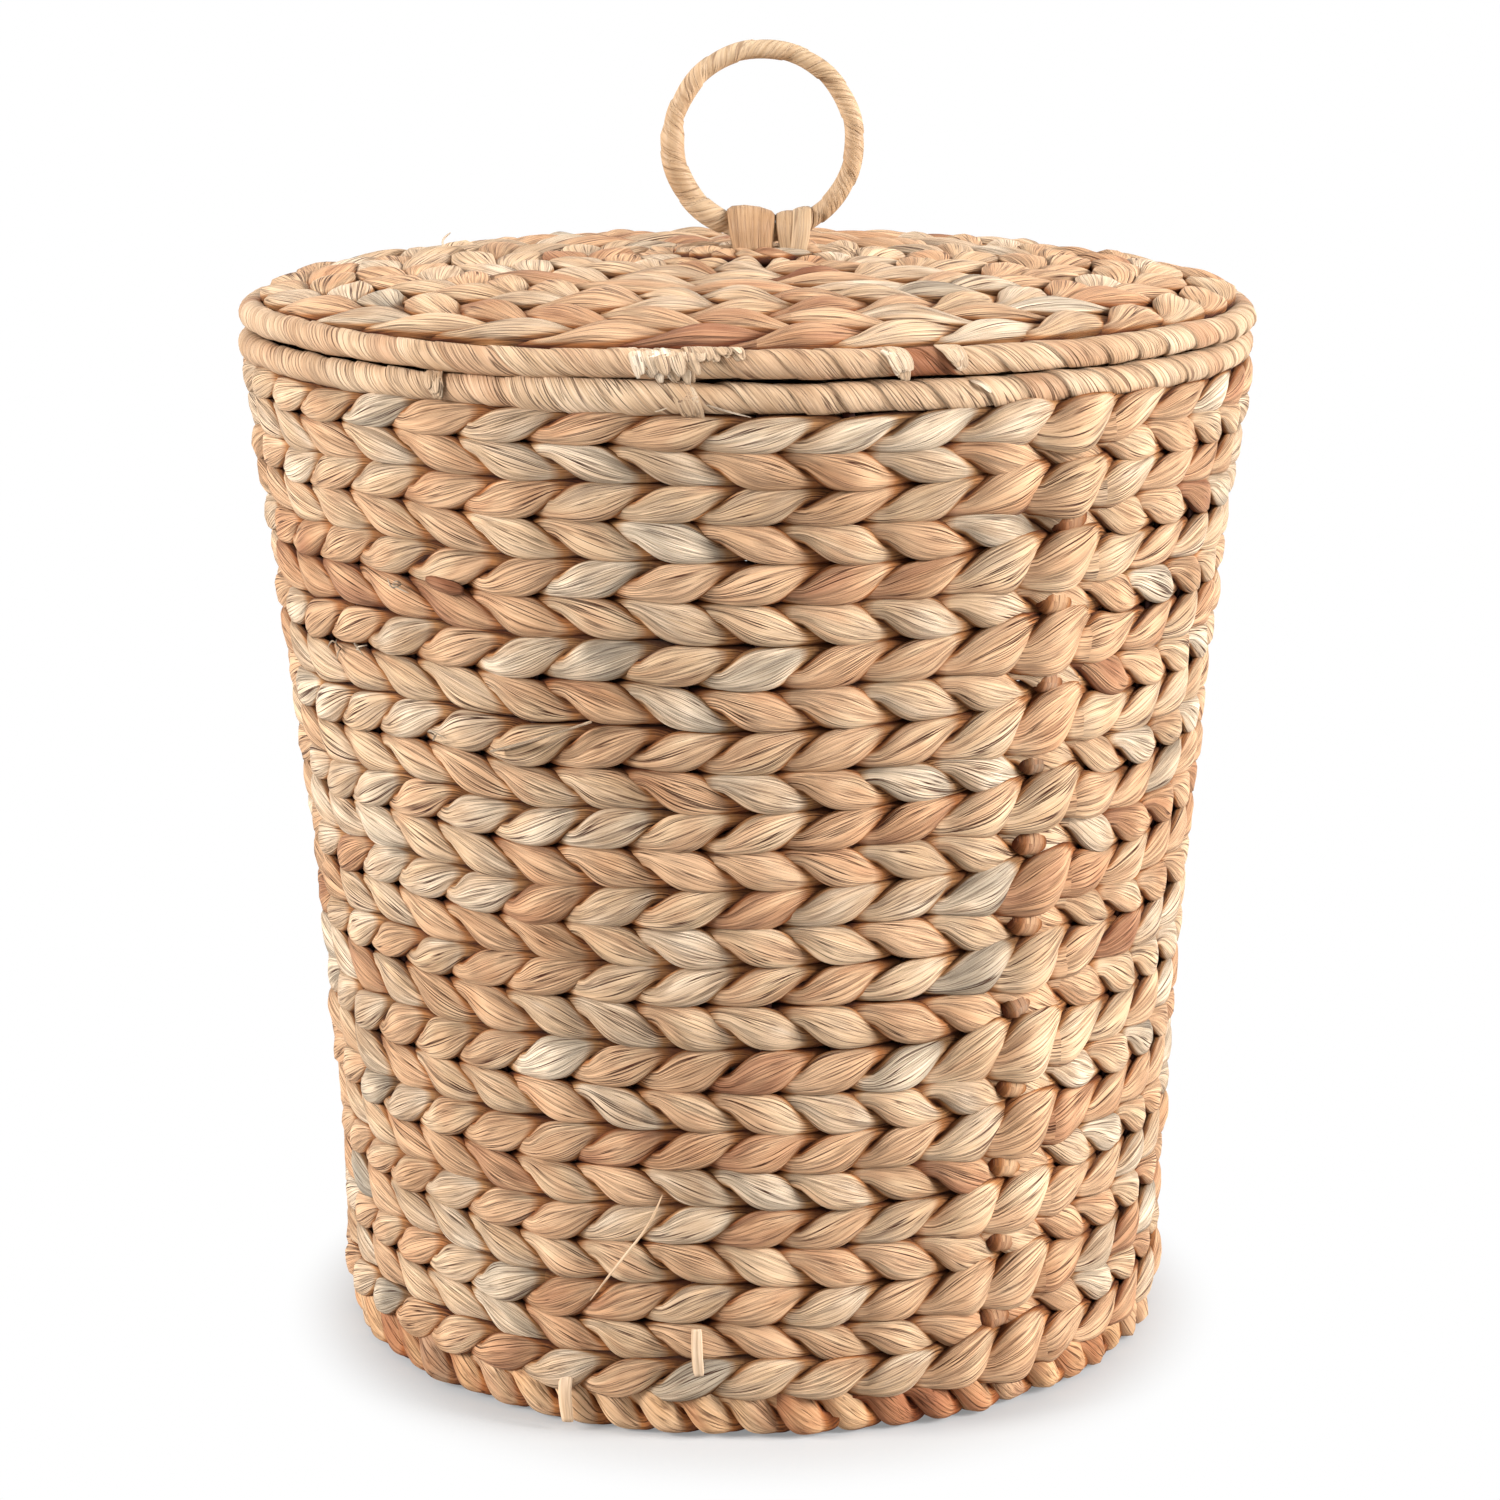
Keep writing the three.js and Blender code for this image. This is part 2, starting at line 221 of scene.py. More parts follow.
def vector(tree, x, y, z):
    return add(tree, "ShaderNodeCombineXYZ", {"X": x, "Y": y, "Z": z}).outputs[0]


def parts(tree, socket):
    made = tree.nodes.new("ShaderNodeSeparateXYZ")
    fill(tree, made.inputs[0], socket)
    return [Value(tree, made.outputs[axis]) for axis in range(3)]


def new_tree(name, kind, inputs, outputs):
    """An empty node group. inputs has (socket type, default) for each name, and outputs the socket type."""
    tree = bpy.data.node_groups.new(name, kind)
    for name, (socket_type, default) in inputs.items():
        socket = tree.interface.new_socket(name=name, in_out="INPUT", socket_type=socket_type)
        if default is not None:
            socket.default_value = default
    for name, socket_type in outputs.items():
        tree.interface.new_socket(name=name, in_out="OUTPUT", socket_type=socket_type)
    entry = tree.nodes.new("NodeGroupInput")
    given = {name: Value(tree, entry.outputs[name]) for name in inputs}
    return tree, given, tree.nodes.new("NodeGroupOutput")


def number(default):
    return ("NodeSocketFloat", default)


def count(default):
    return ("NodeSocketInt", default)


# Geometry Nodes trees

STEPS_PER_STAKE = 14
STRAND_SIDES = 16
WELD = 0.02 * MM
MARK_SHARPNESS = 60


def shape_tree(name, inputs):
    return new_tree(name, "GeometryNodeTree", inputs, {"Geometry": "NodeSocketGeometry"})


def wobble(tree, place, seed, offset):
    """Smooth noise from about -0.5 to 0.5. Each offset gives noise of its own."""
    inputs = {"Vector": place, "W": seed * 7.3 + offset * 31.7, "Scale": 1, "Detail": 0}
    made = add(tree, "ShaderNodeTexNoise", inputs, noise_dimensions="4D")
    return Value(tree, made.outputs[0]) * 2 - 1


def chance(tree, key):
    made = add(tree, "ShaderNodeTexWhiteNoise", {"W": key}, noise_dimensions="1D")
    return Value(tree, made.outputs[0])


def near_turn(turn, middle, reach):
    """1 within a reach round a turn and 0 outside, with a short slope between them."""
    away = ((turn - middle) * 0.5).sin().abs() * 2
    return ((reach - away) * MARK_SHARPNESS + 0.5).most(0).least(1)


def eased(share):
    """Goes smoothly from 0 to 1 as share does."""
    share = share.most(0).least(1)
    return share * share * (3 - share * 2)


def fading(distance, sharpness):
    """1 at a distance of 0, and less on both sides of it."""
    return (0 - distance * distance * sharpness).math("EXPONENT")


def seam_share(height):
    """How much of the rise at the seam the wall has at a height: none low down and under the rim."""
    risen = eased((height - SEAM_RISE_START) / SEAM_RISE_SPAN)
    return risen * eased((SEAM_RISE_END - height) / SEAM_RISE_FADE)


def round_place(tree, radius, turn, height):
    return vector(tree, radius * turn.sin(), -radius * turn.cos(), height)


def flat_grid(tree, columns, rows):
    """A grid, with its place along and across as shares from 0 to 1."""
    inputs = {"Size X": 1, "Size Y": 1, "Vertices X": columns, "Vertices Y": rows}
    grid = add(tree, "GeometryNodeMeshGrid", inputs)
    x, y = parts(tree, tree.nodes.new("GeometryNodeInputPosition").outputs[0])[:2]
    return grid.outputs[0], x + 0.5, y + 0.5


def stored(tree, geometry, name, value, domain, data_type):
    inputs = {"Geometry": geometry, "Name": name, "Value": value}
    made = add(tree, "GeometryNodeStoreNamedAttribute", inputs, data_type=data_type, domain=domain)
    return made.outputs[0]


def finished(tree, geometry, place):
    """Puts the points in place, closes the seams and shades smooth."""
    geometry = add(tree, "GeometryNodeSetPosition", {"Geometry": geometry, "Position": place}).outputs[0]
    geometry = add(tree, "GeometryNodeMergeByDistance", {"Geometry": geometry, "Distance": WELD}).outputs[0]
    return add(tree, "GeometryNodeSetShadeSmooth", {"Geometry": geometry}).outputs[0]


STRAND_INPUTS = {
    "Strand": number(0),
    "Stakes": count(STAKE_COUNT),
    "First turn": number(0),
    "Radius": number(0.13),
    "Height": number(0),
    "Tilt": number(0),
    "Lean": number(1),
    "Swing": number(SWING),
    "Climb": number(CLIMB),
    "Half width": number(LEAF_HALF_WIDTH),
    "Half thickness": number(LEAF_HALF_THICKNESS),
    "Lead": number(LEAD),
    "Room": number(WALL_ROW_HEIGHT * SQUEEZE),
    "Unevenness": number(1),
    "Drift": number(0),
    "Bulge": number(0),
    "Seam rise": number(0),
    "Left rise": number(0),
    "Mark": number(0),
    "Mark tone": number(0),
    "Seed": number(0),
}

# How much each measure of a strand varies, after the number of the noise that it follows
STRAND_VARIES = {"width": (1, 0.22), "thickness": (2, 0.4), "swing": (3, 0.3), "climb": (6, 0.3)}
FOLD_NOISE = 5
DRIFT_NOISE = 7
NOISE_PER_STAKE = 0.9
STRAND_SEED_STEP = 0.37

# A strand swings further out than in, and is fullest in front of a stake
SWING_SHARE = 0.85
SWING_OFFSET = 0.35
FULLNESS_SWING = 0.44
FULLNESS_MEAN = 0.63
LEAST_FULLNESS = 0.62
THINNING = 0.35
STEADINESS = 0.35

# Folds along a leaf
FOLD_SPREAD = 0.7
FOLD_TURNS = 1.7
FOLD_SHIFT = 0.23
FOLD_DEPTH = 0.25

# Slow rise and fall of a whole round
DRIFT_WAVES = 3.4
DRIFT_LAYERS = 16

# Larger leaves next to the seam, and the climb of a round on its way there, in stakes
BULGE_SHARPNESS_BEFORE = 3
BULGE_SHARPNESS_AFTER = 9
SEAM_CLIMB_STAKES = 5.4
SEAM_DROP_SHARPNESS = 8
SEAM_TAIL_SHARPNESS = 0.015
SEAM_DROP_SHARE = 0.65
LEFT_RISE_SHARPNESS = 6

# Tones of a strand: the slope along a leaf, and where it takes on the tone of the next leaf
LEAF_TONE_SLOPE = 0.16
NEXT_TONE_START = 0.8
NEXT_TONE_SLOPE = 5
GRAIN_SEED_STEP = 9.1

# How far out a strand stands, which sets its painted shade: in front and behind, round it, and at its edges,
# which are painted darker
PAINTED_SHADE_FRONT = 0.62
PAINTED_SHADE_ROUND = 0.25
PAINTED_SHADE_EDGE = 0.6
PAINTED_SHADE_BASE = 0.36


def leaf_tone(tree, leaf, seed):
    """Most leaves have a middling tone, and few a very dark or pale one."""
    return (chance(tree, leaf * 1.7 + seed * 91) + chance(tree, leaf * 2.9 + seed * 53)) * 0.4 + 0.11


def strand_tree():
    """One of the two strands of a round. It passes in front of one stake and behind the next."""
    tree, given, end = shape_tree("Twined strand", STRAND_INPUTS)
    stakes = given["Stakes"]
    grid, along, about = flat_grid(tree, stakes * STEPS_PER_STAKE + 1, STRAND_SIDES + 1)
    stake_place = along * stakes + 0.5
    turn = given["First turn"] + stake_place * FULL_TURN / stakes
    phase = (stake_place + given["Strand"]) * math.pi
    angle = about * FULL_TURN
    lap = phase / FULL_TURN + 0.5
    leaf = lap.floor()
    seed = given["Seed"] + given["Strand"] * STRAND_SEED_STEP
    reach = stakes / FULL_TURN * NOISE_PER_STAKE
    circle = vector(tree, turn.sin() * reach, turn.cos() * reach, 0)

    def uneven(measure):
        noise, size = STRAND_VARIES[measure]
        return wobble(tree, circle, seed, noise) * given["Unevenness"] * size

    # Size and way of the strand
    before = ((1 - along) * stakes - 1).most(0)
    after = along * stakes
    near = fading(before, BULGE_SHARPNESS_BEFORE) + fading(after, BULGE_SHARPNESS_AFTER)
    bulge = 1 + given["Bulge"] * near
    front = (phase + given["Lead"]).cos() * SWING_SHARE + SWING_OFFSET
    fullness = (phase.cos() * FULLNESS_SWING + FULLNESS_MEAN).most(LEAST_FULLNESS)
    fold_x = turn.sin() * reach * FOLD_SPREAD
    fold_place = vector(tree, fold_x, turn.cos() * reach * FOLD_SPREAD, angle.cos() * FOLD_TURNS)
    fold = wobble(tree, fold_place, seed + angle.sin() * FOLD_SHIFT, FOLD_NOISE) * given["Unevenness"]
    swell = (1 + fold * FOLD_DEPTH) * bulge
    half_width = given["Half width"] * fullness * (1 + uneven("width"))
    thinned = 1 - THINNING + THINNING * fullness
    half_thickness = given["Half thickness"] * (1 + uneven("thickness")) * thinned
    out = front * given["Swing"] * (1 + uneven("swing")) * bulge + angle.cos() * half_thickness * swell
    steady = phase - phase.sin() * STEADINESS
    up = steady.sin() * given["Lean"] * given["Climb"] * (1 + uneven("climb"))
    up = up + angle.sin() * half_width * swell

    # It stays within the room of its round
    room = given["Room"] * bulge
    up = up / (1 + (up / room).abs().power(ROW_GRIP)).power(1 / ROW_GRIP)

    # Place on the wall, the lid or the base
    radius = given["Radius"] + out * given["Tilt"].cos() - up * given["Tilt"].sin()
    height = given["Height"] + out * given["Tilt"].sin() + up * given["Tilt"].cos()
    layer = given["Height"] * DRIFT_LAYERS
    about_wall = vector(tree, turn.sin() * DRIFT_WAVES, turn.cos() * DRIFT_WAVES, layer)
    height = height + wobble(tree, about_wall, 0.0, DRIFT_NOISE) * given["Unevenness"] * given["Drift"]
    climbing = 1 - eased((1 - along) * stakes / SEAM_CLIMB_STAKES)
    falling = fading(after, SEAM_DROP_SHARPNESS) * SEAM_DROP_SHARE
    falling = falling + fading(after, SEAM_TAIL_SHARPNESS) * (1 - SEAM_DROP_SHARE)
    height = height + (climbing + falling).least(1) * seam_share(given["Height"]) * given["Seam rise"]
    leftwards = (((turn - LEFT_RISE_TURN).cos() - 1) * LEFT_RISE_SHARPNESS).math("EXPONENT")
    height = height + leftwards * given["Left rise"]

    # What the materials read: place along the grain, tone of the leaf, and how far out it stands, which sets
    # its painted shade
    def own_tone(shift):
        return leaf_tone(tree, (leaf + shift).math("MODULO", stakes * 0.5), seed)

    grain = vector(tree, stake_place + seed * GRAIN_SEED_STEP, angle.cos(), angle.sin())
    behind = ((lap.fraction() - NEXT_TONE_START) * NEXT_TONE_SLOPE).most(0)
    tone = own_tone(0) + (own_tone(1) - own_tone(0)) * behind
    middle_turn = given["First turn"] + (leaf * 2 - given["Strand"]) * FULL_TURN / stakes
    marked = near_turn(middle_turn, given["Mark"], math.pi / stakes)
    tone = tone + (lap.fraction() - 0.5) * LEAF_TONE_SLOPE + marked * given["Mark tone"]
    # Painted shade: the strand is darker where it dives between the stakes and at its edges
    rise = (front * PAINTED_SHADE_FRONT + angle.cos() * PAINTED_SHADE_ROUND).abs()
    rise = rise - angle.sin().abs().power(4) * PAINTED_SHADE_EDGE + PAINTED_SHADE_BASE
    geometry = stored(tree, grid, "grain_place", grain, "CORNER", "FLOAT_VECTOR")
    geometry = stored(tree, geometry, "tone", tone, "FACE", "FLOAT")
    geometry = stored(tree, geometry, "rise", rise, "POINT", "FLOAT")
    fill(tree, end.inputs[0], finished(tree, geometry, round_place(tree, radius, turn, height)))
    return tree


def dressed(tree, geometry, given, end):
    """Ends a tree: real geometry with its material."""
    geometry = add(tree, "GeometryNodeRealizeInstances", {"Geometry": geometry}).outputs[0]
    inputs = {"Geometry": geometry, "Material": given["Material"]}
    fill(tree, end.inputs[0], add(tree, "GeometryNodeSetMaterial", inputs).outputs[0])


def round_tree(strand):
    """A round of twining: two strands, which cross between the stakes."""
    shared = [name for name in STRAND_INPUTS if name != "Strand"]
    inputs = {name: STRAND_INPUTS[name] for name in shared}
    inputs["Material"] = ("NodeSocketMaterial", None)
    tree, given, end = shape_tree("Twined round", inputs)
    joint = tree.nodes.new("GeometryNodeJoinGeometry")
    for side in (0, 1):
        values = {"Strand": side, **{name: given[name] for name in shared}}
        group = add(tree, "GeometryNodeGroup", values, node_tree=strand)
        tree.links.new(group.outputs[0], joint.inputs[0])
    dressed(tree, joint.outputs[0], given, end)
    return tree


ROLL_STEPS = 8
ROLL_SIDES = 18
ROLL_INPUTS = {
    "Wraps": count(80),
    "Radius": number(0.148),
    "Height": number(0),
    "Half width": number(4 * MM),
    "Half height": number(4 * MM),
    "Edge": number(0.5 * MM),
    "Crown": number(0.1 * MM),
    "Hand": number(1),
    "Unevenness": number(1),
    "Splice": number(0),
    "Splice reach": number(0.1),
    "Splice lift": number(0),
    "Patch": number(0),
    "Patch reach": number(0.1),
    "Patch tone": number(0),
    "Painted edge shade": number(0.4),
    "Seed": number(0),
    "Stand": ("NodeSocketVector", (0, 0, 0)),
    "Shift": ("NodeSocketVector", (0, 0, 0)),
    "Material": ("NodeSocketMaterial", None),
}

# How much each measure of a roll varies, after the number of the noise that it follows
ROLL_VARIES = {"edge": (4, 1.3), "lift": (1, 0.5 * MM), "across": (2, 1.1 * MM), "up": (3, 1.3 * MM)}
TONE_NOISE = 9
NOISE_PER_WRAP = 0.8
MEAN_WAVES = 1.6
GRID_OFFSET = 0.01
WRAP_SHARE = 0.975

# Longer and shorter stretches of wraps: waves round the roll, steps by the seed, and how far they move a wrap
STRETCHES = [(7, 1, 0.02), (13, 2, 0.013)]


def roll_tree():
    """A hoop wrapped with flat strip. Each wrap covers the edge of the one before it."""
    tree, given, end = shape_tree("Wrapped roll", ROLL_INPUTS)
    wraps = given["Wraps"]
    grid, along, about = flat_grid(tree, wraps * ROLL_STEPS + 1, ROLL_SIDES + 1)
    wrap_place = along * wraps + GRID_OFFSET
    wrap = wrap_place.floor()
    within = ((wrap_place.fraction() - GRID_OFFSET) * (ROLL_STEPS * WRAP_SHARE / (ROLL_STEPS - 1))).most(0)
    angle = about * FULL_TURN - math.pi / 2
    seed = given["Seed"]
    even_turn = (wrap + within + about * given["Hand"]) * FULL_TURN / wraps
    turn = even_turn
    for waves, step, size in STRETCHES:
        turn = turn + (even_turn * waves + seed * step).sin() * size

    reach = wraps / FULL_TURN * NOISE_PER_WRAP
    circle = vector(tree, turn.sin() * reach, turn.cos() * reach, angle.sin() * 0.6)
    mean = vector(tree, turn.sin() * MEAN_WAVES, turn.cos() * MEAN_WAVES, 0)

    def uneven(measure, where):
        noise, size = ROLL_VARIES[measure]
        return wobble(tree, where, seed, noise) * given["Unevenness"] * size

    # Each wrap starts with a raised edge, runs down to the next and bows up a little between
    edge = given["Edge"] * (0.9 + uneven("edge", circle))
    slope = 1 - within.power(1.4)
    bow = (within * math.pi).sin() * given["Crown"]
    spliced = near_turn(turn, given["Splice"], given["Splice reach"])
    lift = edge * slope + bow + uneven("lift", circle) + spliced * given["Splice lift"]
    radius = given["Radius"] + (angle.cos() * (given["Half width"] + lift) + uneven("across", mean))
    height = given["Height"] + (angle.sin() * (given["Half height"] + lift) + uneven("up", mean))
    turned = {"Vector": round_place(tree, radius, turn, height), "Rotation": given["Stand"]}
    stood = add(tree, "ShaderNodeVectorRotate", turned, rotation_type="EULER_XYZ")
    moved = add(tree, "ShaderNodeVectorMath", {0: stood.outputs[0], 1: given["Shift"]}, operation="ADD")

    wound = wrap * given["Hand"] + about
    grain = vector(tree, wound * 1.4, within * 1.2, seed + 0.5)
    tone = wobble(tree, vector(tree, wound * 0.7, 0, 0), seed, TONE_NOISE) * 0.55 + 0.5
    tone = tone.most(0.15) + near_turn(turn, given["Patch"], given["Patch reach"]) * given["Patch tone"]
    geometry = stored(tree, grid, "grain_place", grain, "CORNER", "FLOAT_VECTOR")
    geometry = stored(tree, geometry, "tone", tone, "FACE", "FLOAT")
    # Painted shade: each wrap darkens just before the raised edge of the next wrap, which overlaps it
    geometry = stored(tree, geometry, "rise", 1 - within.power(8) * given["Painted edge shade"], "POINT", "FLOAT")
    dressed(tree, finished(tree, geometry, moved.outputs[0]), given, end)
    return tree


FLARE_INPUTS = {
    "Foot radius": number(FOOT_STAKE_RADIUS),
    "Rim radius": number(RIM_STAKE_RADIUS),
    "Rim height": number(RIM_ROLL_HEIGHT),
    "Flare": number(FLARE_SHARE),
}


def flared_radius(given, height):
    """Radius of the circle of stakes at a height."""
    share = height / given["Rim height"]
    flare = share * (1 - given["Flare"]) + share * share * given["Flare"]
    return given["Foot radius"] + (given["Rim radius"] - given["Foot radius"]) * flare


def set_out(tree, points, shape, turns, **more):
    """Copies of a shape on points, turned by the three angles in turns."""
    rotation = add(tree, "FunctionNodeEulerToRotation", {"Euler": vector(tree, *turns)})
    inputs = {"Points": points, "Instance": shape, "Rotation": rotation.outputs[0], **more}
    return add(tree, "GeometryNodeInstanceOnPoints", inputs).outputs[0]


def stake_tree():
    """Flat stakes round the wall, which follow its flare."""
    inputs = {
        "Stakes": count(STAKE_COUNT),
        "First turn": number(FIRST_STAKE_TURN),
        "Width": number(STAKE_WIDTH),
        "Thickness": number(STAKE_THICKNESS),
        **FLARE_INPUTS,
        "Bottom": number(9.5 * MM),
        "Top": number(303 * MM),
        "Material": ("NodeSocketMaterial", None),
    }
    tree, given, end = shape_tree("Wall stakes", inputs)
    size = vector(tree, given["Thickness"], given["Width"], given["Top"] - given["Bottom"])
    cuts = {"Vertices X": 2, "Vertices Y": 3, "Vertices Z": 14}
    bar = add(tree, "GeometryNodeMeshCube", {"Size": size, **cuts})
    x, y, z = parts(tree, tree.nodes.new("GeometryNodeInputPosition").outputs[0])
    height = z + (given["Top"] + given["Bottom"]) / 2
    crown = 1 - (y / given["Width"] * 2).abs() * 0.35
    stake = finished(tree, bar.outputs[0], vector(tree, flared_radius(given, height) + x * crown, y, height))
    points = add(tree, "GeometryNodePoints", {"Count": given["Stakes"]}).outputs[0]
    index = Value(tree, tree.nodes.new("GeometryNodeInputIndex").outputs[0])
    turn = given["First turn"] + index * FULL_TURN / given["Stakes"] - math.pi / 2
    dressed(tree, set_out(tree, points, stake, (0, 0, turn)), given, end)
    return tree


KNOT_STEPS = 21
KNOT_SIDES = 18


def knot_tree():
    """Small wound knots up the seam of the wall, where the strands of its rounds end."""
    inputs = {
        "Knots": count(11),
        "Lowest": number(30.4 * MM),
        "Step": number(23.4 * MM),
        "First turn": number(math.radians(33.9)),
        "Last turn": number(math.radians(37)),
        **FLARE_INPUTS,
        "Rise": number(SEAM_RISE),
        "Lift": number(2.2 * MM),
        "Length": number(12 * MM),
        "Half thickness": number(3.9 * MM),
        "Seed": number(5),
        "Material": ("NodeSocketMaterial", None),
    }
    tree, given, end = shape_tree("Seam knots", inputs)

    # One knot: a barrel with three winds, round at its ends
    grid, along, about = flat_grid(tree, KNOT_STEPS + 1, KNOT_SIDES + 1)
    angle = about * FULL_TURN
    end_on = along * 2 - 1
    winds = (along * 3 + about).fraction() * 0.12
    girth = (1 - end_on.abs().power(2.6)).most(0).power(0.5) * (0.94 + winds) * given["Half thickness"]
    barrel = vector(tree, angle.cos() * girth * 0.9, end_on * given["Length"] * 0.5, angle.sin() * girth)
    grain = vector(tree, about * 0.9, along * 6, 0.4)
    # Painted shade: darker towards the ends of the knot and on its side against the wall
    rise = 0.64 - end_on.abs().power(2) * 0.5 + angle.cos() * 0.08
    grid = stored(tree, grid, "grain_place", grain, "CORNER", "FLOAT_VECTOR")
    knot = finished(tree, stored(tree, grid, "rise", rise, "POINT", "FLOAT"), barrel)

    # Their places up the seam, each a little off the line
    points = add(tree, "GeometryNodePoints", {"Count": given["Knots"]}).outputs[0]
    index = Value(tree, tree.nodes.new("GeometryNodeInputIndex").outputs[0])
    share = index / (given["Knots"] - 1)
    turn = given["First turn"] + (given["Last turn"] - given["First turn"]) * share
    turn = turn + (chance(tree, index + given["Seed"]) - 0.5) * 0.02
    height = given["Lowest"] + given["Step"] * index
    radius = flared_radius(given, height) + given["Lift"]
    height = height + seam_share(height) * given["Rise"]
    inputs = {"Geometry": points, "Position": round_place(tree, radius, turn, height)}
    points = add(tree, "GeometryNodeSetPosition", inputs).outputs[0]
    tilt = (chance(tree, index * 3.1 + given["Seed"]) - 0.35) * 0.7
    size = 0.85 + chance(tree, index * 5.3 + given["Seed"]) * 0.3
    knots = set_out(tree, points, knot, (tilt, 0, turn - math.pi / 2), Scale=vector(tree, size, size, size))
    tone = chance(tree, index * 7.7 + given["Seed"]) * 0.3 + 0.62
    dressed(tree, stored(tree, knots, "tone", tone, "INSTANCE", "FLOAT"), given, end)
    return tree


# Meshes

def linked(name, mesh):
    """A new object in the scene."""
    made = bpy.data.objects.new(name, mesh)
    bpy.context.scene.collection.objects.link(made)
    return made


def grown(tree, name, values):
    """The plain mesh that a tree makes with these values, as a new object."""
    piece = linked(name, bpy.data.meshes.new(name))
    modifier = piece.modifiers.new("Shape", "NODES")
    modifier.node_group = tree
    for item in tree.interface.items_tree:
        if item.item_type == "SOCKET" and item.in_out == "INPUT" and item.name in values:
            modifier[item.identifier] = values[item.name]
    graph = bpy.context.evaluated_depsgraph_get()
    evaluated = piece.evaluated_get(graph)
    mesh = bpy.data.meshes.new_from_object(evaluated, preserve_all_data_layers=True, depsgraph=graph)
    piece.modifiers.remove(modifier)
    mesh.name = name
    piece.data = mesh
    face_out(mesh)
    return piece


def face_out(mesh):
    """Turns the faces of a closed mesh outwards if they point in."""
    volume = 0
    points = mesh.vertices
    mesh.calc_loop_triangles()
    for triangle in mesh.loop_triangles:
        a, b, c = (points[corner].co for corner in triangle.vertices)
        volume += a.dot(b.cross(c))
    if volume < 0:
        mesh.flip_normals()


def heading(path, index):
    """The way a path goes at one of its points."""
    return path[min(index + 1, len(path) - 1)] - path[max(index - 1, 0)]


STRIP_SIDES = 10
GRAIN_STEP = 20 * MM
GRAIN_SHIFT = 0.01
GRAIN_DEPTH = 0.3


class Strips:
    """Closed strips of leaf along given paths, gathered into one mesh."""

    def __init__(self):
        self.points = []
        self.faces = []
        self.grain = []
        self.tones = []

    def add(self, path, across, half_widths, half_thicknesses, tone):
        first = len(self.points)
        last = len(path) - 1
        broad = max(half_widths) / LEAF_HALF_WIDTH
        far = [0]
        for index, middle in enumerate(path):
            if index:
                far.append(far[-1] + (middle - path[index - 1]).length / GRAIN_STEP)
            ahead = heading(path, index).normalized()
            side = (across[index] - ahead * ahead.dot(across[index])).normalized()
            up = ahead.cross(side)
            for step in range(STRIP_SIDES):
                angle = FULL_TURN * step / STRIP_SIDES
                width = side * math.cos(angle) * half_widths[index]
                self.points.append(middle + width + up * math.sin(angle) * half_thicknesses[index])
        for index in range(last):
            for step in range(STRIP_SIDES):
                near = first + index * STRIP_SIDES
                beyond = near + STRIP_SIDES
                follows = (step + 1) % STRIP_SIDES
                self.faces.append((near + step, near + follows, beyond + follows, beyond + step))
                self.tones.append(tone)
                corners = ((index, step), (index, step + 1), (index + 1, step + 1), (index + 1, step))
                for along, edge in corners:
                    angle = FULL_TURN * edge / STRIP_SIDES
                    grain_place = (far[along] + first * GRAIN_SHIFT, math.cos(angle) * broad)
                    self.grain.append((*grain_place, math.sin(angle) * GRAIN_DEPTH))
        start = range(first + STRIP_SIDES - 1, first - 1, -1)
        end = range(len(self.points) - STRIP_SIDES, len(self.points))
        for cap in (start, end):
            self.faces.append(tuple(cap))
            self.grain.extend([(0, 0, 0)] * STRIP_SIDES)
            self.tones.append(tone)

    def piece(self, name, material):
        mesh = bpy.data.meshes.new(name)
        mesh.from_pydata(self.points, [], self.faces)
        mesh.shade_smooth()
        mesh.materials.append(material)
        grain = mesh.attributes.new("grain_place", "FLOAT_VECTOR", "CORNER")
        grain.data.foreach_set("vector", [value for corner in self.grain for value in corner])
        mesh.attributes.new("tone", "FLOAT", "FACE").data.foreach_set("value", self.tones)
        # No painted shade on these strips: their rise is full everywhere
        rise = mesh.attributes.new("rise", "FLOAT", "POINT")
        rise.data.foreach_set("value", [1.0] * len(self.points))
        face_out(mesh)
        return linked(name, mesh)


def lean(piece):
    """Leans the upper part of a piece to the left, as the hand-made wall does."""
    low, high = LEAN_HEIGHTS
    for point in piece.data.vertices:
        share = min(max((point.co.z - low) / (high - low), 0), 1)
        point.co.x -= LEAN * share * share * (3 - 2 * share)


def seat(piece, body, nodes, leans=True):
    """Lets a piece ride on its body in place of CAD nodes."""
    if leans:
        lean(piece)
    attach(piece, body)
    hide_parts(*nodes)


# Materials

def colour(red, green, blue):
    """A colour as it looks on a screen, from 0 to 255, as Blender keeps it."""
    def linear(value):
        share = value / 255
        return share / 12.92 if share <= 0.04045 else ((share + 0.055) / 1.055) ** 2.4
    return (linear(red), linear(green), linear(blue), 1)


WHITE = (1, 1, 1, 1)

# Painted shade, as the share of light that reaches a leaf: none deep between the leaves, and all of it where
# the leaf stands out
PAINTED_SHADE_STOPS = [
    (0.0, (0.1, 0.035, 0.01, 1)),
    (0.3, (0.2, 0.075, 0.018, 1)),
    (0.54, (0.62, 0.39, 0.21, 1)),
    (0.74, (1, 1, 1, 1)),
]

# Creases, clouds over the basket, fine streaks, and the wire
CREASE_BROWN = colour(72, 32, 9)
CLOUD_STOPS = [(0.3, (0.78, 0.73, 0.68, 1)), (0.65, (1.05, 1.06, 1.08, 1))]
STREAK_STOPS = [(0.3, (0.7, 0.63, 0.55, 1)), (0.62, (1.07, 1.09, 1.13, 1))]
STREAK_SHARE = 0.8
WIRE_STOPS = [(0.35, colour(96, 88, 82)), (0.65, colour(150, 146, 142))]

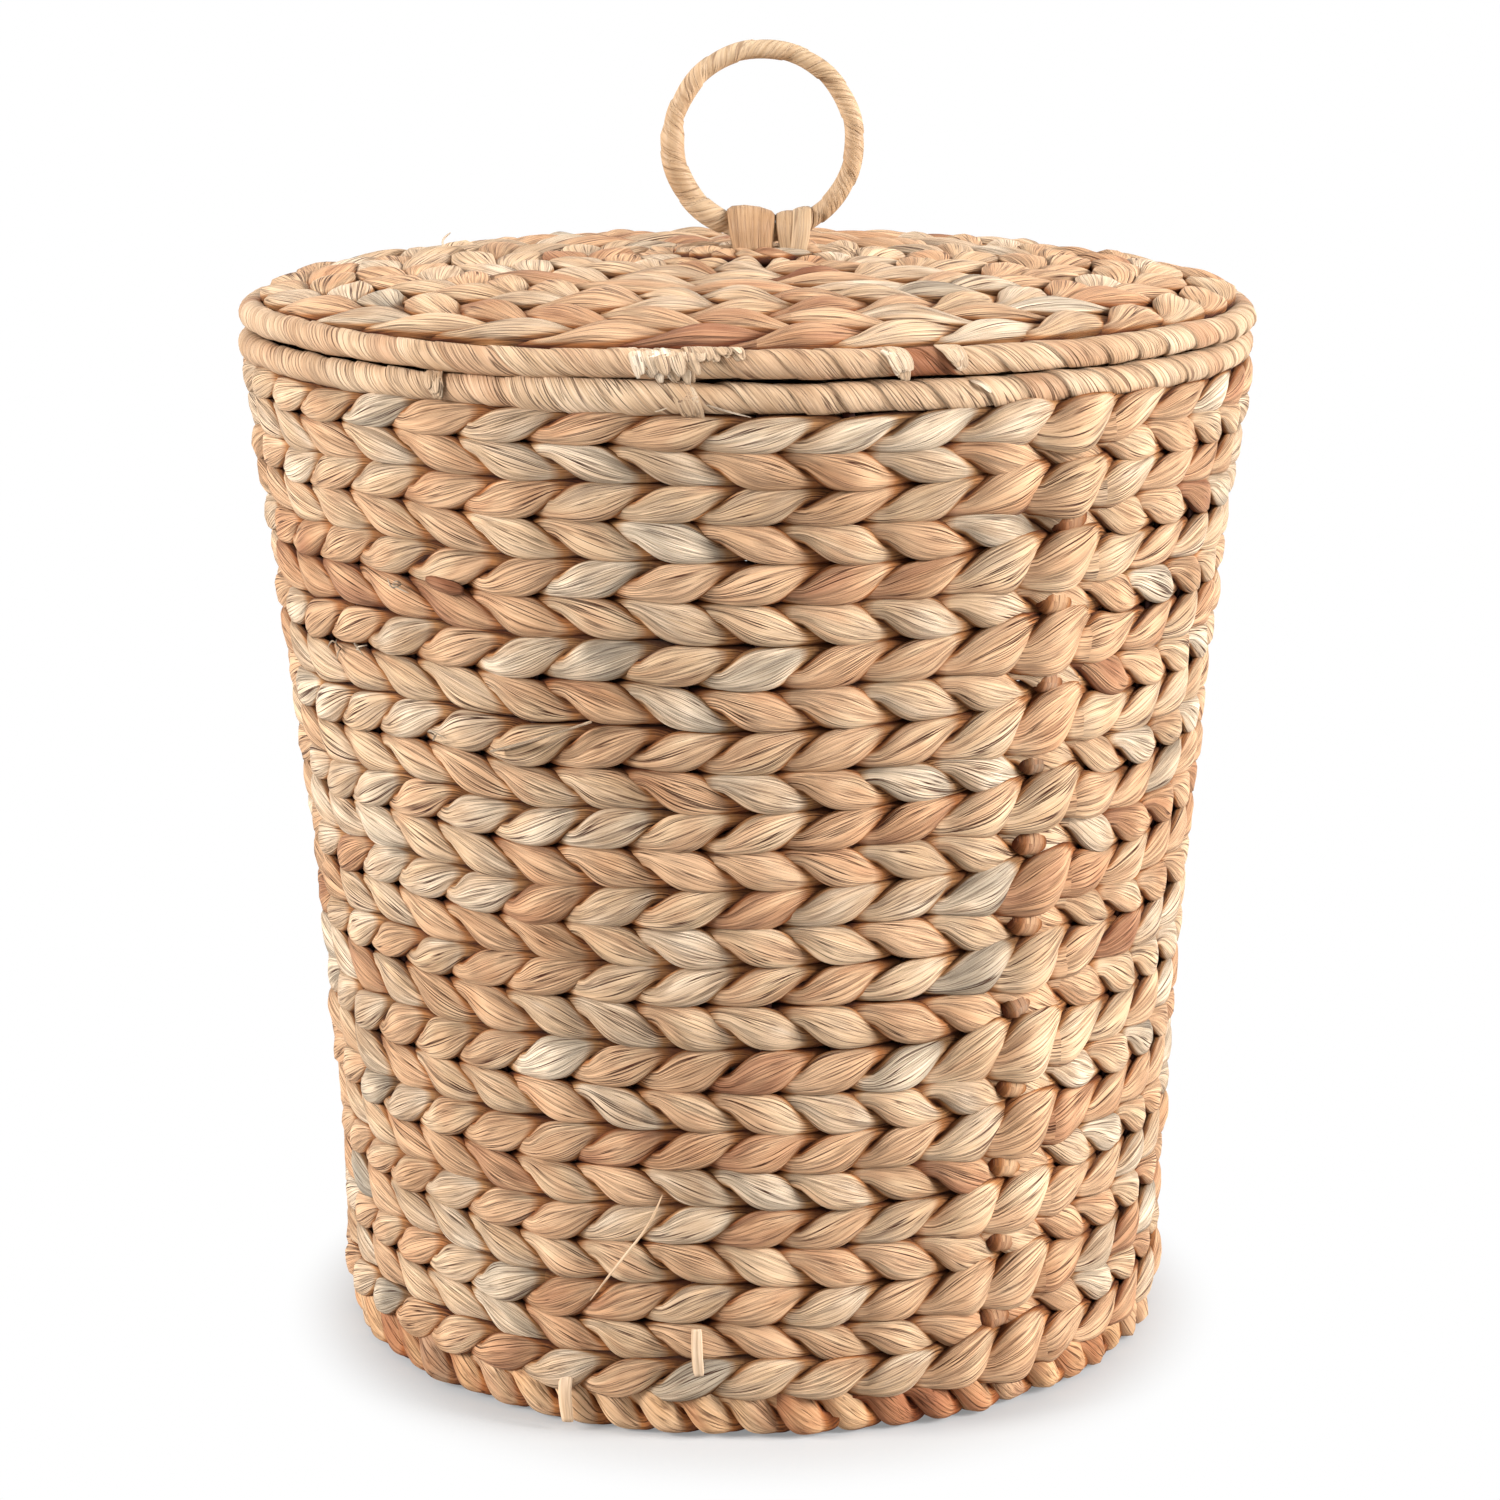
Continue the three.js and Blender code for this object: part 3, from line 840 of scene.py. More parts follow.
# Tones of dried leaf, from the tone 0 to the tone 1
LEAF_STOPS = [
    (0.0, colour(148, 94, 62)),
    (0.12, colour(180, 130, 96)),
    (0.24, colour(208, 160, 120)),
    (0.36, colour(226, 184, 144)),
    (0.46, colour(212, 170, 132)),
    (0.56, colour(228, 194, 156)),
    (0.66, colour(212, 182, 150)),
    (0.76, colour(238, 214, 184)),
    (0.88, colour(192, 174, 150)),
    (1.0, colour(158, 146, 128)),
]
STRIP_STOPS = [
    (0.0, colour(152, 98, 66)),
    (0.14, colour(182, 138, 104)),
    (0.35, colour(198, 162, 128)),
    (0.6, colour(208, 176, 142)),
    (0.85, colour(216, 190, 160)),
    (1.0, colour(248, 230, 204)),
]
FOOT_STOPS = [
    (0.0, colour(146, 86, 58)),
    (0.3, colour(180, 124, 86)),
    (0.48, colour(212, 168, 124)),
    (0.62, colour(222, 184, 144)),
    (0.78, colour(186, 142, 108)),
    (1.0, colour(158, 140, 120)),
]
HANDLE_STOPS = [
    (0.0, colour(178, 142, 106)),
    (0.5, colour(194, 164, 130)),
    (1.0, colour(206, 182, 150)),
]

# Fibre finishes: tones, then strength of the creases, grain along and across, bump and roughness
FINISHES = {
    "hyacinth_leaf": (LEAF_STOPS, 1.15, 0.45, 6.6, 0.9, 0.62),
    "hyacinth_strip": (STRIP_STOPS, 0.75, 0.5, 4.6, 0.8, 0.6),
    "foot_strand": (FOOT_STOPS, 0.8, 0.6, 3, 0.7, 0.7),
    "handle_strip": (HANDLE_STOPS, 0.5, 0.5, 3, 0.5, 0.5),
    "stake_cane": (STRIP_STOPS, 0.3, 0.5, 2, 0.3, 0.55),
}


def ramp(tree, value, stops):
    made = tree.nodes.new("ShaderNodeValToRGB")
    fill(tree, made.inputs[0], value)
    elements = made.color_ramp.elements
    while len(elements) < len(stops):
        elements.new(0.5)
    for element, (position, tint) in zip(elements, stops):
        element.position = position
        element.color = tint
    return made.outputs[0]


def mixed(tree, share, first, second, blend="MIX"):
    inputs = {"Factor": share, 6: first, 7: second}
    return add(tree, "ShaderNodeMix", inputs, data_type="RGBA", blend_type=blend).outputs[2]


def attribute(tree, name, output):
    return add(tree, "ShaderNodeAttribute", {}, attribute_name=name).outputs[output]


def new_material(name):
    """A material with its node tree and its shader."""
    material = bpy.data.materials.new(name)
    material.use_nodes = True
    return material, material.node_tree, material.node_tree.nodes["Principled BSDF"]


def object_place(tree):
    return tree.nodes.new("ShaderNodeTexCoord").outputs["Object"]


def grain_group():
    """Creases and fine fibres along a strand. Place has the distance along the strand first."""
    inputs = {
        "Place": ("NodeSocketVector", (0, 0, 0)),
        "Along": number(0.35),
        "Across": number(5),
        "Sharpness": number(25),
    }
    outputs = {"Crease": "NodeSocketFloat", "Fine": "NodeSocketFloat", "Height": "NodeSocketFloat"}
    tree, given, end = new_tree("Fibre grain", "ShaderNodeTree", inputs, outputs)
    x, y, z = parts(tree, given["Place"])

    def streaks(along, across, detail):
        where = vector(tree, x * along, y * across, z * across)
        texture = {"Vector": where, "Scale": 1, "Detail": detail, "Roughness": 0.6}
        return Value(tree, add(tree, "ShaderNodeTexNoise", texture).outputs[0])

    def lines(texture):
        return 1 - ((texture - 0.5).abs() * given["Sharpness"]).least(1)

    # Wide creases in some places and narrow ones in the others
    wide = streaks(given["Along"], given["Across"], 1)
    narrow = streaks(given["Along"] * 1.6, given["Across"] * 2.6, 1)
    patchy = ((streaks(given["Along"] * 2.5, 1.7, 1) - 0.4) * 5).most(0).least(1)
    crease = (lines(wide) * patchy).most(lines(narrow) * (1 - patchy) * 0.7)
    fine = streaks(given["Along"] * 2, given["Across"] * 4, 3)
    fill(tree, end.inputs["Crease"], crease)
    fill(tree, end.inputs["Fine"], fine)
    fill(tree, end.inputs["Height"], fine * 0.5 + wide * 0.6 - crease)
    return tree


def fibre_material(name, grain, stops, creases, along, across, bump, roughness):
    """Dried leaf: each strand has a tone from stops, with dark creases along it and painted shade between the
    strands.
    """
    material, tree, shader = new_material(name)
    grain_place = attribute(tree, "grain_place", "Vector")
    tone = Value(tree, attribute(tree, "tone", "Fac"))
    values = {"Place": grain_place, "Along": along, "Across": across}
    lines = add(tree, "ShaderNodeGroup", values, node_tree=grain)

    # The tone drifts along and across a leaf
    x, y, z = parts(tree, grain_place)
    where = vector(tree, x * 0.9, y * 0.7, z * 0.7)
    drift = add(tree, "ShaderNodeTexNoise", {"Vector": where, "Scale": 1.3, "Detail": 1})
    base = ramp(tree, tone + (Value(tree, drift.outputs[0]) - 0.5) * 0.5, stops)

    # Clouds over the whole basket, fine fibres, creases, and painted shade between the leaves
    cloud = add(tree, "ShaderNodeTexNoise", {"Vector": object_place(tree), "Scale": 38, "Detail": 3})
    base = mixed(tree, 1, base, ramp(tree, cloud.outputs[0], CLOUD_STOPS), "MULTIPLY")
    streaky = ramp(tree, lines.outputs["Fine"], STREAK_STOPS)
    base = mixed(tree, STREAK_SHARE, base, streaky, "MULTIPLY")
    base = mixed(tree, Value(tree, lines.outputs["Crease"]) * creases, base, CREASE_BROWN)
    # Painted shade: the colour is darkened where the strand lies deep between its neighbours, as its rise
    # tells
    painted_shade = ramp(tree, attribute(tree, "rise", "Fac"), PAINTED_SHADE_STOPS)
    base = mixed(tree, 1, base, painted_shade, "MULTIPLY")
    tree.links.new(base, shader.inputs["Base Color"])
    shader.inputs["Roughness"].default_value = roughness
    shader.inputs["Specular IOR Level"].default_value = 0.2
    creased = {"Height": lines.outputs["Height"], "Strength": bump, "Distance": 0.75 * MM}
    bumped = add(tree, "ShaderNodeBump", creased)
    tree.links.new(bumped.outputs[0], shader.inputs["Normal"])
    return material


def wire_material():
    """Dull drawn wire with darker blotches, for the hoops inside the rolls."""
    material, tree, shader = new_material("hoop_wire_dull")
    blotches = add(tree, "ShaderNodeTexNoise", {"Vector": object_place(tree), "Scale": 120, "Detail": 3})
    share = Value(tree, blotches.outputs[0])
    fill(tree, shader.inputs["Base Color"], ramp(tree, share, WIRE_STOPS))
    fill(tree, shader.inputs["Roughness"], share * 0.3 + 0.3)
    shader.inputs["Metallic"].default_value = 1
    return material


# Camera, light and floor

AMBIENT = 0.44
LAMP_TARGET = Vector((0, 0, 0.17))
LAMPS = [
    ("left_lamp", Vector((-2.4, -0.85, 1.1)), 1.1, 106),
    ("right_lamp", Vector((2.4, -0.75, 1.1)), 1.1, 137),
    ("top_lamp", Vector((0.0, 0.15, 2.6)), 0.8, 20),
]
FLOOR_HALF = 20
FLOOR_GREY = (0.48, 0.48, 0.48, 1)

# The shade on the floor fades out from a radius, over a distance, and sooner at the sides
SHADE_RADIUS = 0.13
SHADE_FADE = 0.038
SIDE_FADE = 1.26
SHADE_LIFT = 0.25


def floor_material():
    """White. Close to the basket it takes the shadow, and further off the camera sees plain white."""
    material, tree, shader = new_material("floor_white")
    shader.inputs["Base Color"].default_value = FLOOR_GREY
    shader.inputs["Roughness"].default_value = 1
    shader.inputs["Specular IOR Level"].default_value = 0
    path = tree.nodes.new("ShaderNodeLightPath")
    x, y = parts(tree, object_place(tree))[:2]
    away = (x * x * SIDE_FADE + y * y).math("SQRT")
    far = eased((away - SHADE_RADIUS) / SHADE_FADE)
    seen = Value(tree, path.outputs["Is Camera Ray"])
    white = add(tree, "ShaderNodeEmission", {"Color": WHITE})
    share = seen * (SHADE_LIFT + far * (1 - SHADE_LIFT))
    blend = add(tree, "ShaderNodeMixShader", {0: share, 1: shader.outputs[0], 2: white.outputs[0]})
    tree.links.new(blend.outputs[0], tree.nodes["Material Output"].inputs[0])
    return material


def set_floor():
    corners = [(-FLOOR_HALF, -FLOOR_HALF, 0), (FLOOR_HALF, -FLOOR_HALF, 0)]
    corners += [(FLOOR_HALF, FLOOR_HALF, 0), (-FLOOR_HALF, FLOOR_HALF, 0)]
    floor = linked("floor", bpy.data.meshes.new("floor"))
    floor.data.from_pydata(corners, [], [(0, 1, 2, 3)])
    floor.data.materials.append(floor_material())


def set_world():
    """Even light on the basket, and white for the camera and in reflections."""
    world = bpy.data.worlds.new("studio")
    bpy.context.scene.world = world
    world.use_nodes = True
    tree = world.node_tree
    path = tree.nodes.new("ShaderNodeLightPath")
    background = tree.nodes["Background"]
    shown = Value(tree, path.outputs["Is Camera Ray"]).most(Value(tree, path.outputs["Is Glossy Ray"]))
    shown = shown.most(Value(tree, path.outputs["Is Transmission Ray"]))
    background.inputs["Color"].default_value = WHITE
    fill(tree, background.inputs["Strength"], AMBIENT + shown * (1 - AMBIENT))


def set_lamps():
    for name, spot, size, power in LAMPS:
        light = bpy.data.lights.new(name, "AREA")
        light.shape = "DISK"
        light.size = size
        light.energy = power
        lamp = linked(name, light)
        lamp.location = spot
        lamp.rotation_euler = (LAMP_TARGET - spot).to_track_quat("-Z", "Y").to_euler()


def set_camera():
    camera = linked("camera", bpy.data.cameras.new("camera"))
    camera.data.sensor_width = SENSOR_WIDTH
    camera.data.lens = FOCAL_PIXELS / IMAGE_SIDE * SENSOR_WIDTH
    camera.location = CAMERA_PLACE
    camera.rotation_euler = (math.pi / 2 - CAMERA_PITCH, 0, 0)
    bpy.context.scene.camera = camera


# Basket

def stake_radius(height):
    share = height / RIM_ROLL_HEIGHT
    flare = (1 - FLARE_SHARE) * share + FLARE_SHARE * share ** 2
    return FOOT_STAKE_RADIUS + (RIM_STAKE_RADIUS - FOOT_STAKE_RADIUS) * flare


def wall_slope(height):
    step = 1 * MM
    return (stake_radius(height + step) - stake_radius(height - step)) / (2 * step)


# The rounds aren't evenly spaced. In mm: heights, and how far above even spacing they lie
ROW_SHIFTS = [
    (16, -3.6), (39, -4.4), (62, -3.4), (85, -3.2), (107, -2), (130, 1), (153, 1.3),
    (175, 1.9), (198, 2.2), (221, 3.3), (244, 3.9), (266, 3.5), (289, 1.8), (301, 0.2),
]


def row_shift(height):
    """How far a round lies above where even spacing would put it."""
    for (low, first), (high, second) in zip(ROW_SHIFTS, ROW_SHIFTS[1:]):
        if height <= high * MM:
            share = (height - low * MM) / ((high - low) * MM)
            return (first + (second - first) * share) * MM
    return 0


WALL_DRIFT = 2.6 * MM


def leaning(index):
    """Every second round leans the other way."""
    return -1.0 if index % 2 else 1.0


def wall_rows(tree, material):
    seam_turn = FIRST_STAKE_TURN + SEAM_STAKE * FULL_TURN / STAKE_COUNT
    for index in range(WALL_ROW_COUNT):
        node = f"wall_round_{index + 1:02d}"
        low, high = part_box(node)
        middle = (low.z + high.z) / 2
        hang = FOOT_OVERLAP if index == 0 else 0.0
        seen = middle + row_shift(middle)
        wide = 1 + (row_shift(high.z) - row_shift(low.z)) / WALL_ROW_HEIGHT
        left_share = (middle - LEFT_RISE_HEIGHTS[0]) / (LEFT_RISE_HEIGHTS[1] - LEFT_RISE_HEIGHTS[0])
        left_share = min(max(left_share, 0), 1) * min(1, (RIM_ROLL_HEIGHT - middle) / LEFT_RISE_FADE)
        piece = grown(tree, f"wall_row_{index + 1:02d}", {
            "Stakes": STAKE_COUNT,
            "First turn": seam_turn,
            "Radius": stake_radius(seen) + hang,
            "Height": seen,
            "Room": WALL_ROW_HEIGHT * SQUEEZE * wide + hang,
            "Half width": LEAF_HALF_WIDTH * wide,
            "Climb": CLIMB * wide,
            "Tilt": -math.atan(wall_slope(middle)),
            "Lean": leaning(index),
            "Drift": WALL_DRIFT,
            "Seam rise": SEAM_RISE,
            "Left rise": LEFT_RISE * left_share,
            "Bulge": 0.0 if index % 2 else SEAM_BULGE,
            "Seed": index * 1.0 + 1,
            "Material": material,
        })
        seat(piece, "basket", [node])


def foot_roll(tree, material):
    """The roll under the wall: short steep leaves, set down on the floor."""
    piece = grown(tree, "foot_roll", {
        "Stakes": FOOT_WRAP_COUNT,
        "Radius": FOOT_ROLL_RADIUS,
        "Height": FOOT_HEIGHT / 2,
        "Lean": -1.0,
        "Swing": 1.4 * MM,
        "Climb": 5.6 * MM,
        "Half width": 9 * MM,
        "Half thickness": 4.6 * MM,
        "Room": FOOT_HEIGHT * SQUEEZE,
        "Unevenness": 1.1,
        "Drift": 1 * MM,
        "Seed": 31.0,
        "Material": material,
    })
    lowest = min(point.co.z for point in piece.data.vertices)
    piece.data.transform(Matrix.Translation((0, 0, -lowest)))
    seat(piece, "basket", ["foot_wrap"])


def wrapped_roll(tree, name, body, node, material, values):
    """A wrapped roll in place of a CAD node that is a ring round the Z axis."""
    low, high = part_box(node)
    piece = grown(tree, name, {"Height": (low.z + high.z) / 2, "Material": material, **values})
    seat(piece, body, [node])


def joined(name, pieces):
    """One object from several, whose meshes are all in place."""
    with bpy.context.temp_override(active_object=pieces[0], selected_editable_objects=pieces):
        bpy.ops.object.join()
    pieces[0].name = name
    pieces[0].data.name = name
    return pieces[0]


def middle_rounds(tree, name, body, nodes, material, rings, values):
    """Small rounds of twining that close the middle of the lid or the base, joined into one piece."""
    made = []
    for index, (radius, half_width, stakes) in enumerate(rings):
        made.append(grown(tree, f"{name}_{index}", {
            "Stakes": stakes,
            "Radius": radius,
            "Half width": half_width,
            "Climb": half_width * 0.55,
            "Room": half_width * 1.2,
            "Lean": leaning(index + 1),
            "Seed": 61.0 + index,
            "Material": material,
            **values,
        }))
    seat(joined(name, made), body, nodes)


def base_rows(tree, material):
    for index in range(BASE_ROUND_COUNT):
        made = []
        for half in range(2):
            middle = BASE_HUB_RADIUS + (index + half / 2 + 0.25) * BASE_ROUND_WIDTH
            made.append(grown(tree, f"base_rows_{index + 1}_{half}", {
                "Stakes": BASE_SPOKE_COUNT if index < BASE_SPARSE_COUNT else 2 * BASE_SPOKE_COUNT,
                "First turn": FIRST_STAKE_TURN,
                "Radius": middle,
                "Height": BASE_SPOKE_HEIGHT,
                "Tilt": -math.pi / 2,
                "Lean": leaning(half + 1),
                "Half width": BASE_ROUND_WIDTH / 4,
                "Half thickness": BASE_LEAF_HALF_THICKNESS,
                "Swing": BASE_SWING,
                "Climb": BASE_ROUND_WIDTH / 6.4,
                "Room": BASE_ROUND_WIDTH / 2 * SQUEEZE,
                "Seed": 71.0 + 2 * index + half,
                "Material": material,
            }))
        seat(joined(f"base_rows_{index + 1}", made), "basket", [f"base_round_{index + 1}"])


# Lid

def lid_height(radius):
    return LID_CROWN_HEIGHT - LID_RISE * (radius / LID_EDGE_RADIUS) ** LID_FULLNESS


def lid_tilt(radius):
    """Angle of the way out of the lid's twining above the level."""
    slope = LID_RISE * LID_FULLNESS * radius ** (LID_FULLNESS - 1) / LID_EDGE_RADIUS ** LID_FULLNESS
    return math.atan2(1, slope)


# Dark leaves on two of the lid's rounds
LID_MARKS = {
    2: {"Mark": math.radians(33), "Mark tone": -0.3},
    8: {"First turn": math.radians(-4.6), "Mark": math.radians(-4.6), "Mark tone": -0.45},
}


def lid_rows(tree, material):
    width = (LID_EDGE_RADIUS - LID_START_RADIUS) / LID_ROW_COUNT
    wider = width / WALL_ROW_HEIGHT
    for index in range(LID_ROW_COUNT):
        middle = LID_START_RADIUS + (index + 0.5) * width
        piece = grown(tree, f"lid_row_{index + 1}", {
            "Stakes": LID_SPOKE_COUNT // 2 if index < LID_WIDE_ROW_COUNT else LID_SPOKE_COUNT,
            "Radius": middle,
            "Height": lid_height(middle) - SPOKE_DEPTH,
            "Tilt": lid_tilt(middle),
            "Lean": leaning(index),
            "Half width": LEAF_HALF_WIDTH * wider,
            "Half thickness": LID_LEAF_HALF_THICKNESS,
            "Climb": CLIMB * wider,
            "Room": width * SQUEEZE,
            "Seed": 41.0 + index,
            "Material": material,
            **LID_MARKS.get(index, {}),
        })
        seat(piece, "lid", [f"lid_round_{index + 1}"])


# Ties that hold the ring

TIE_STEPS = 18
TIE_SWEEP = 125
TIE_FOOT_DEPTH = 3 * MM
LOOP_REACH = 6.05 * MM
LOOP_SHIFT = -0.5 * MM
LOOP_NARROWING = 0.6 * MM
LOOP_FLARE = -0.12
LOOP_HALF_WIDTH = 7.4 * MM
LOOP_HALF_THICKNESS = 2.1 * MM
STRAPS = [(-1, 9.6 * MM, 5.7 * MM), (1, 14.6 * MM, 6.9 * MM)]
STRAP_NARROWING = 1.4 * MM
STRAP_FLARE = 0.2
STRAP_HALF_WIDTH = 2.95 * MM
STRAP_HALF_THICKNESS = 0.9 * MM


def tie_arch(middle, reach, foot_height, shift, narrowing, flare):
    """Path over the ring's tube: up the front, over, and down the back. Flare widens it towards +X."""
    path = []
    across = []
    for index in range(TIE_STEPS + 1):
        share = index / TIE_STEPS * 2 - 1
        angle = share * math.radians(TIE_SWEEP)
        straight = max(0, abs(angle) - math.pi / 2)
        level = min(abs(angle), math.pi / 2)
        y = math.copysign(math.sin(level), share)
        z = math.cos(level)
        drop = straight / math.radians(TIE_SWEEP - 90) * (middle.z - foot_height)
        x = shift + narrowing * share ** 4
        path.append(middle + Vector((x, y * reach, z * reach - drop)))
        across.append(Vector((1, y * flare, z * flare)))
    return path, across


def ties(material):
    """A puffy loop and two flat straps side by side."""
    low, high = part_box("tie_left")
    foot_height = low.z - TIE_FOOT_DEPTH
    pivot = Vector((0, 0, high.z - (high.y - low.y) / 2))
    shares = [index / TIE_STEPS * 2 - 1 for index in range(TIE_STEPS + 1)]
    loop = Strips()
    path, across = tie_arch(pivot, LOOP_REACH, foot_height, LOOP_SHIFT, LOOP_NARROWING, LOOP_FLARE)
    widths = [LOOP_HALF_WIDTH * (1 - 0.22 * share ** 2) for share in shares]
    loop.add(path, across, widths, [LOOP_HALF_THICKNESS] * len(shares), 0.1)
    seat(loop.piece("ring_loop", material), "lid", ["tie_left"], leans=False)
    straps = Strips()
    for way, shift, reach in STRAPS:
        path, across = tie_arch(pivot, reach, foot_height, shift, -way * STRAP_NARROWING, STRAP_FLARE)
        widths = [STRAP_HALF_WIDTH * (1 - 0.15 * share ** 4) for share in shares]
        straps.add(path, across, widths, [STRAP_HALF_THICKNESS] * len(shares), 0.62 + 0.1 * way)
    seat(straps.piece("ring_straps", material), "lid", ["tie_right"], leans=False)


# Small things on the outside

CURVE_STEPS = 5
TORN_SLANT = -0.7
TORN_STRANDS = 12

# Torn ends: turns, angles, tones and the seed of their draws
LID_TEARS = [
    ((-11.4, -5.6), (-40, 110), (0.7, 0.92), 3),
    ((-5.8, -0.8), (30, 130), (0.65, 0.92), 4),
    ((14.6, 15.8), (-30, 105), (0.7, 0.9), 5),
    ((20.6, 21.6), (-10, 100), (0.7, 0.9), 6),
]
RIM_TEARS = [
    ((-34.6, -33.2), (-20, 80), (0.6, 0.9), 8),
    ((-6.6, -5.2), (-65, 60), (0.6, 0.85), 9),
]

# Single loose strands: stops of turn, angle and lift in mm, then width and thickness in mm, and tone
LID_STRANDS = [
    ([(-8.2, 0, 0.6), (-7.6, -40, 1), (-6.2, -100, 2.4)], 0.6, 0.3, 0.9),
    ([(-7.9, -10, 0.6), (-7.0, -50, 1.2), (-6.0, -90, 2)], 0.5, 0.3, 0.8),
]
RIM_STRANDS = [
    ([(-9.4, -48, 0.3), (-8.7, -30, 1.2), (-7.9, -20, 1.4)], 0.5, 0.3, 0.9),
    ([(-4.0, -15, 0.2), (-2, -32, 1), (0.4, -62, 1)], 0.7, 0.3, 0.9),
    ([(23.4, 60, 0.0), (24.2, 30, 1.4), (25.4, 5, 0.6)], 1.6, 0.4, 0.95),
]
STRAY_FIBRE = [(-99, 97, 321), (-99.5, 98, 325), (-97, 99, 327.5)]

# On the wall, in degrees of turn, and height and lift in mm
FRONT_STUB = [(-7.2, 35, 5.6), (-7.1, 28, 6.8), (-6.9, 21, 6.6)]
LEFT_STUB = [(-25, 20, 4.2), (-24.8, 12, 7.6), (-24.4, 3, 8)]
LOOSE_FIBRE = [(-11.5, 75, 4), (-13.2, 66, 6.6), (-17, 54, 7.4), (-21.2, 41, 6)]
TORN_LEAF = [(-17.4, 214.8, 6.8), (-23.2, 209.4, 8.6), (-30, 203.6, 7.4)]
DARK_STRIP = [(-37.8, 250.6, 4.4), (-35, 249.6, 5.4), (-32.6, 248.6, 4.4)]
FRAYS = [(-41.4, 248), (-49.9, 226.4), (-54.6, 224.6), (-38.8, 205)]
FRAY_FIBRES = 3


def on_circle(radius, turn_degrees, height):
    turn = math.radians(turn_degrees)
    return Vector((radius * math.sin(turn), -radius * math.cos(turn), height))


def wall_point(turn, height, lift):
    """A point over the stakes of the wall. The turn is in degrees, and height and lift are in mm."""
    return on_circle(stake_radius(height * MM) + lift * MM, turn, height * MM)


def roll_point(roll, turn, angle_degrees, lift):
    """A point over the surface of a roll. The angle goes up from the outside, and lift is in mm."""
    radius, height, tube = roll
    angle = math.radians(angle_degrees)
    away = tube + lift * MM
    return on_circle(radius + math.cos(angle) * away, turn, height + math.sin(angle) * away)


def outwards(point):
    return Vector((point.x, point.y, 0)).normalized()


def curve(points, steps):
    """A smooth path through points."""
    path = []
    for index in range(len(points) - 1):
        before = points[max(index - 1, 0)]
        start, end = points[index], points[index + 1]
        after = points[min(index + 2, len(points) - 1)]
        for step in range(steps):
            share = step / steps
            bend = (end - before) * share + (before * 2 - start * 5 + end * 4 - after) * share ** 2
            path.append(start + (bend + (start * 3 - end * 3 + after - before) * share ** 3) / 2)
    path.append(points[-1])
    return path


def flat_strand(strips, points, off, width, thickness, tone, ends=0.35):
    """A flat strand along points, thinner at its ends. off gives the way out at a point. Sizes are in mm."""
    path = curve(points, CURVE_STEPS)
    last = len(path) - 1
    across = [heading(path, index).cross(off(point)) for index, point in enumerate(path)]
    taper = []
    for index in range(last + 1):
        taper.append(ends + (1 - ends) * min(1, 4 * index / last, 4 * (last - index) / last))
    half_widths = [width * MM / 2 * share for share in taper]
    half_thicknesses = [thickness * MM / 2 * share for share in taper]
    strips.add(path, across, half_widths, half_thicknesses, tone)


def wall_strand(strips, stops, *sizes):
    flat_strand(strips, [wall_point(*stop) for stop in stops], outwards, *sizes)


def roll_strand(strips, roll, stops, *sizes):
    def off_roll(point):
        return point - (outwards(point) * roll[0] + Vector((0, 0, roll[1])))

    flat_strand(strips, [roll_point(roll, *stop) for stop in stops], off_roll, *sizes)


def torn_end(strips, roll, turns, angles, tones, seed):
    """The torn end of a strip: narrow strands side by side over the roll, which lift at their ends."""
    pick = random.Random(seed)
    middle = (angles[0] + angles[1]) / 2
    for index in range(TORN_STRANDS):
        share = index / (TORN_STRANDS - 1)
        turn = turns[0] + (turns[1] - turns[0]) * share + pick.uniform(-0.25, 0.25)
        low = angles[0] + pick.uniform(-16, 22)
        high = angles[1] + pick.uniform(-12, 14)
        lift = pick.uniform(0.5, 1.9)
        tone = tones[0] + (tones[1] - tones[0]) * pick.random()
        stops = [(turn - TORN_SLANT, low, lift), (turn, middle, 0.7), (turn + TORN_SLANT, high, 0.3)]
        roll_strand(strips, roll, stops, pick.uniform(2.2, 4.2), 0.5, tone, 0.4)


def torn_ends(roll, tears, strands):
    """All torn ends and loose strands of a roll."""
    strips = Strips()
    for tear in tears:
        torn_end(strips, roll, *tear)
    for stops, *sizes in strands:
        roll_strand(strips, roll, stops, *sizes)
    return strips


def splices(material):
    """Torn and frayed ends of the strips on the two rolls."""
    lid = torn_ends(LID_ROLL, LID_TEARS, LID_STRANDS)
    flat_strand(lid, [Vector(point) * MM for point in STRAY_FIBRE], outwards, 0.8, 0.5, 0.9)
    seat(lid.piece("lid_torn_ends", material), "lid", [])
    rim = torn_ends(RIM_ROLL, RIM_TEARS, RIM_STRANDS)
    seat(rim.piece("rim_torn_ends", material), "basket", [])


def stubs_and_fibre(material):
    """Two stake ends that stick out low down, and a loose fibre."""
    strips = Strips()
    wall_strand(strips, FRONT_STUB, 3.3, 1.3, 0.8, 0.85)
    wall_strand(strips, LEFT_STUB, 4.4, 1.4, 0.7, 0.85)
    wall_strand(strips, LOOSE_FIBRE, 0.75, 0.5, 0.6)
    seat(strips.piece("stake_ends", material), "basket", [])


def torn_leaf(strips, pick):
    """A leaf with a torn edge, which stands off the wall a little."""
    path = curve([wall_point(*stop) for stop in TORN_LEAF], 12)
    across = []
    for index, point in enumerate(path):
        across.append(heading(path, index).cross(outwards(point)) + outwards(point) * 0.3)
    widths = [pick.uniform(0.7, 3.0) * MM for point in path]
    widths[0] = widths[-1] = 0.5 * MM
    strips.add(path, across, widths, [0.35 * MM] * len(path), 0.74)


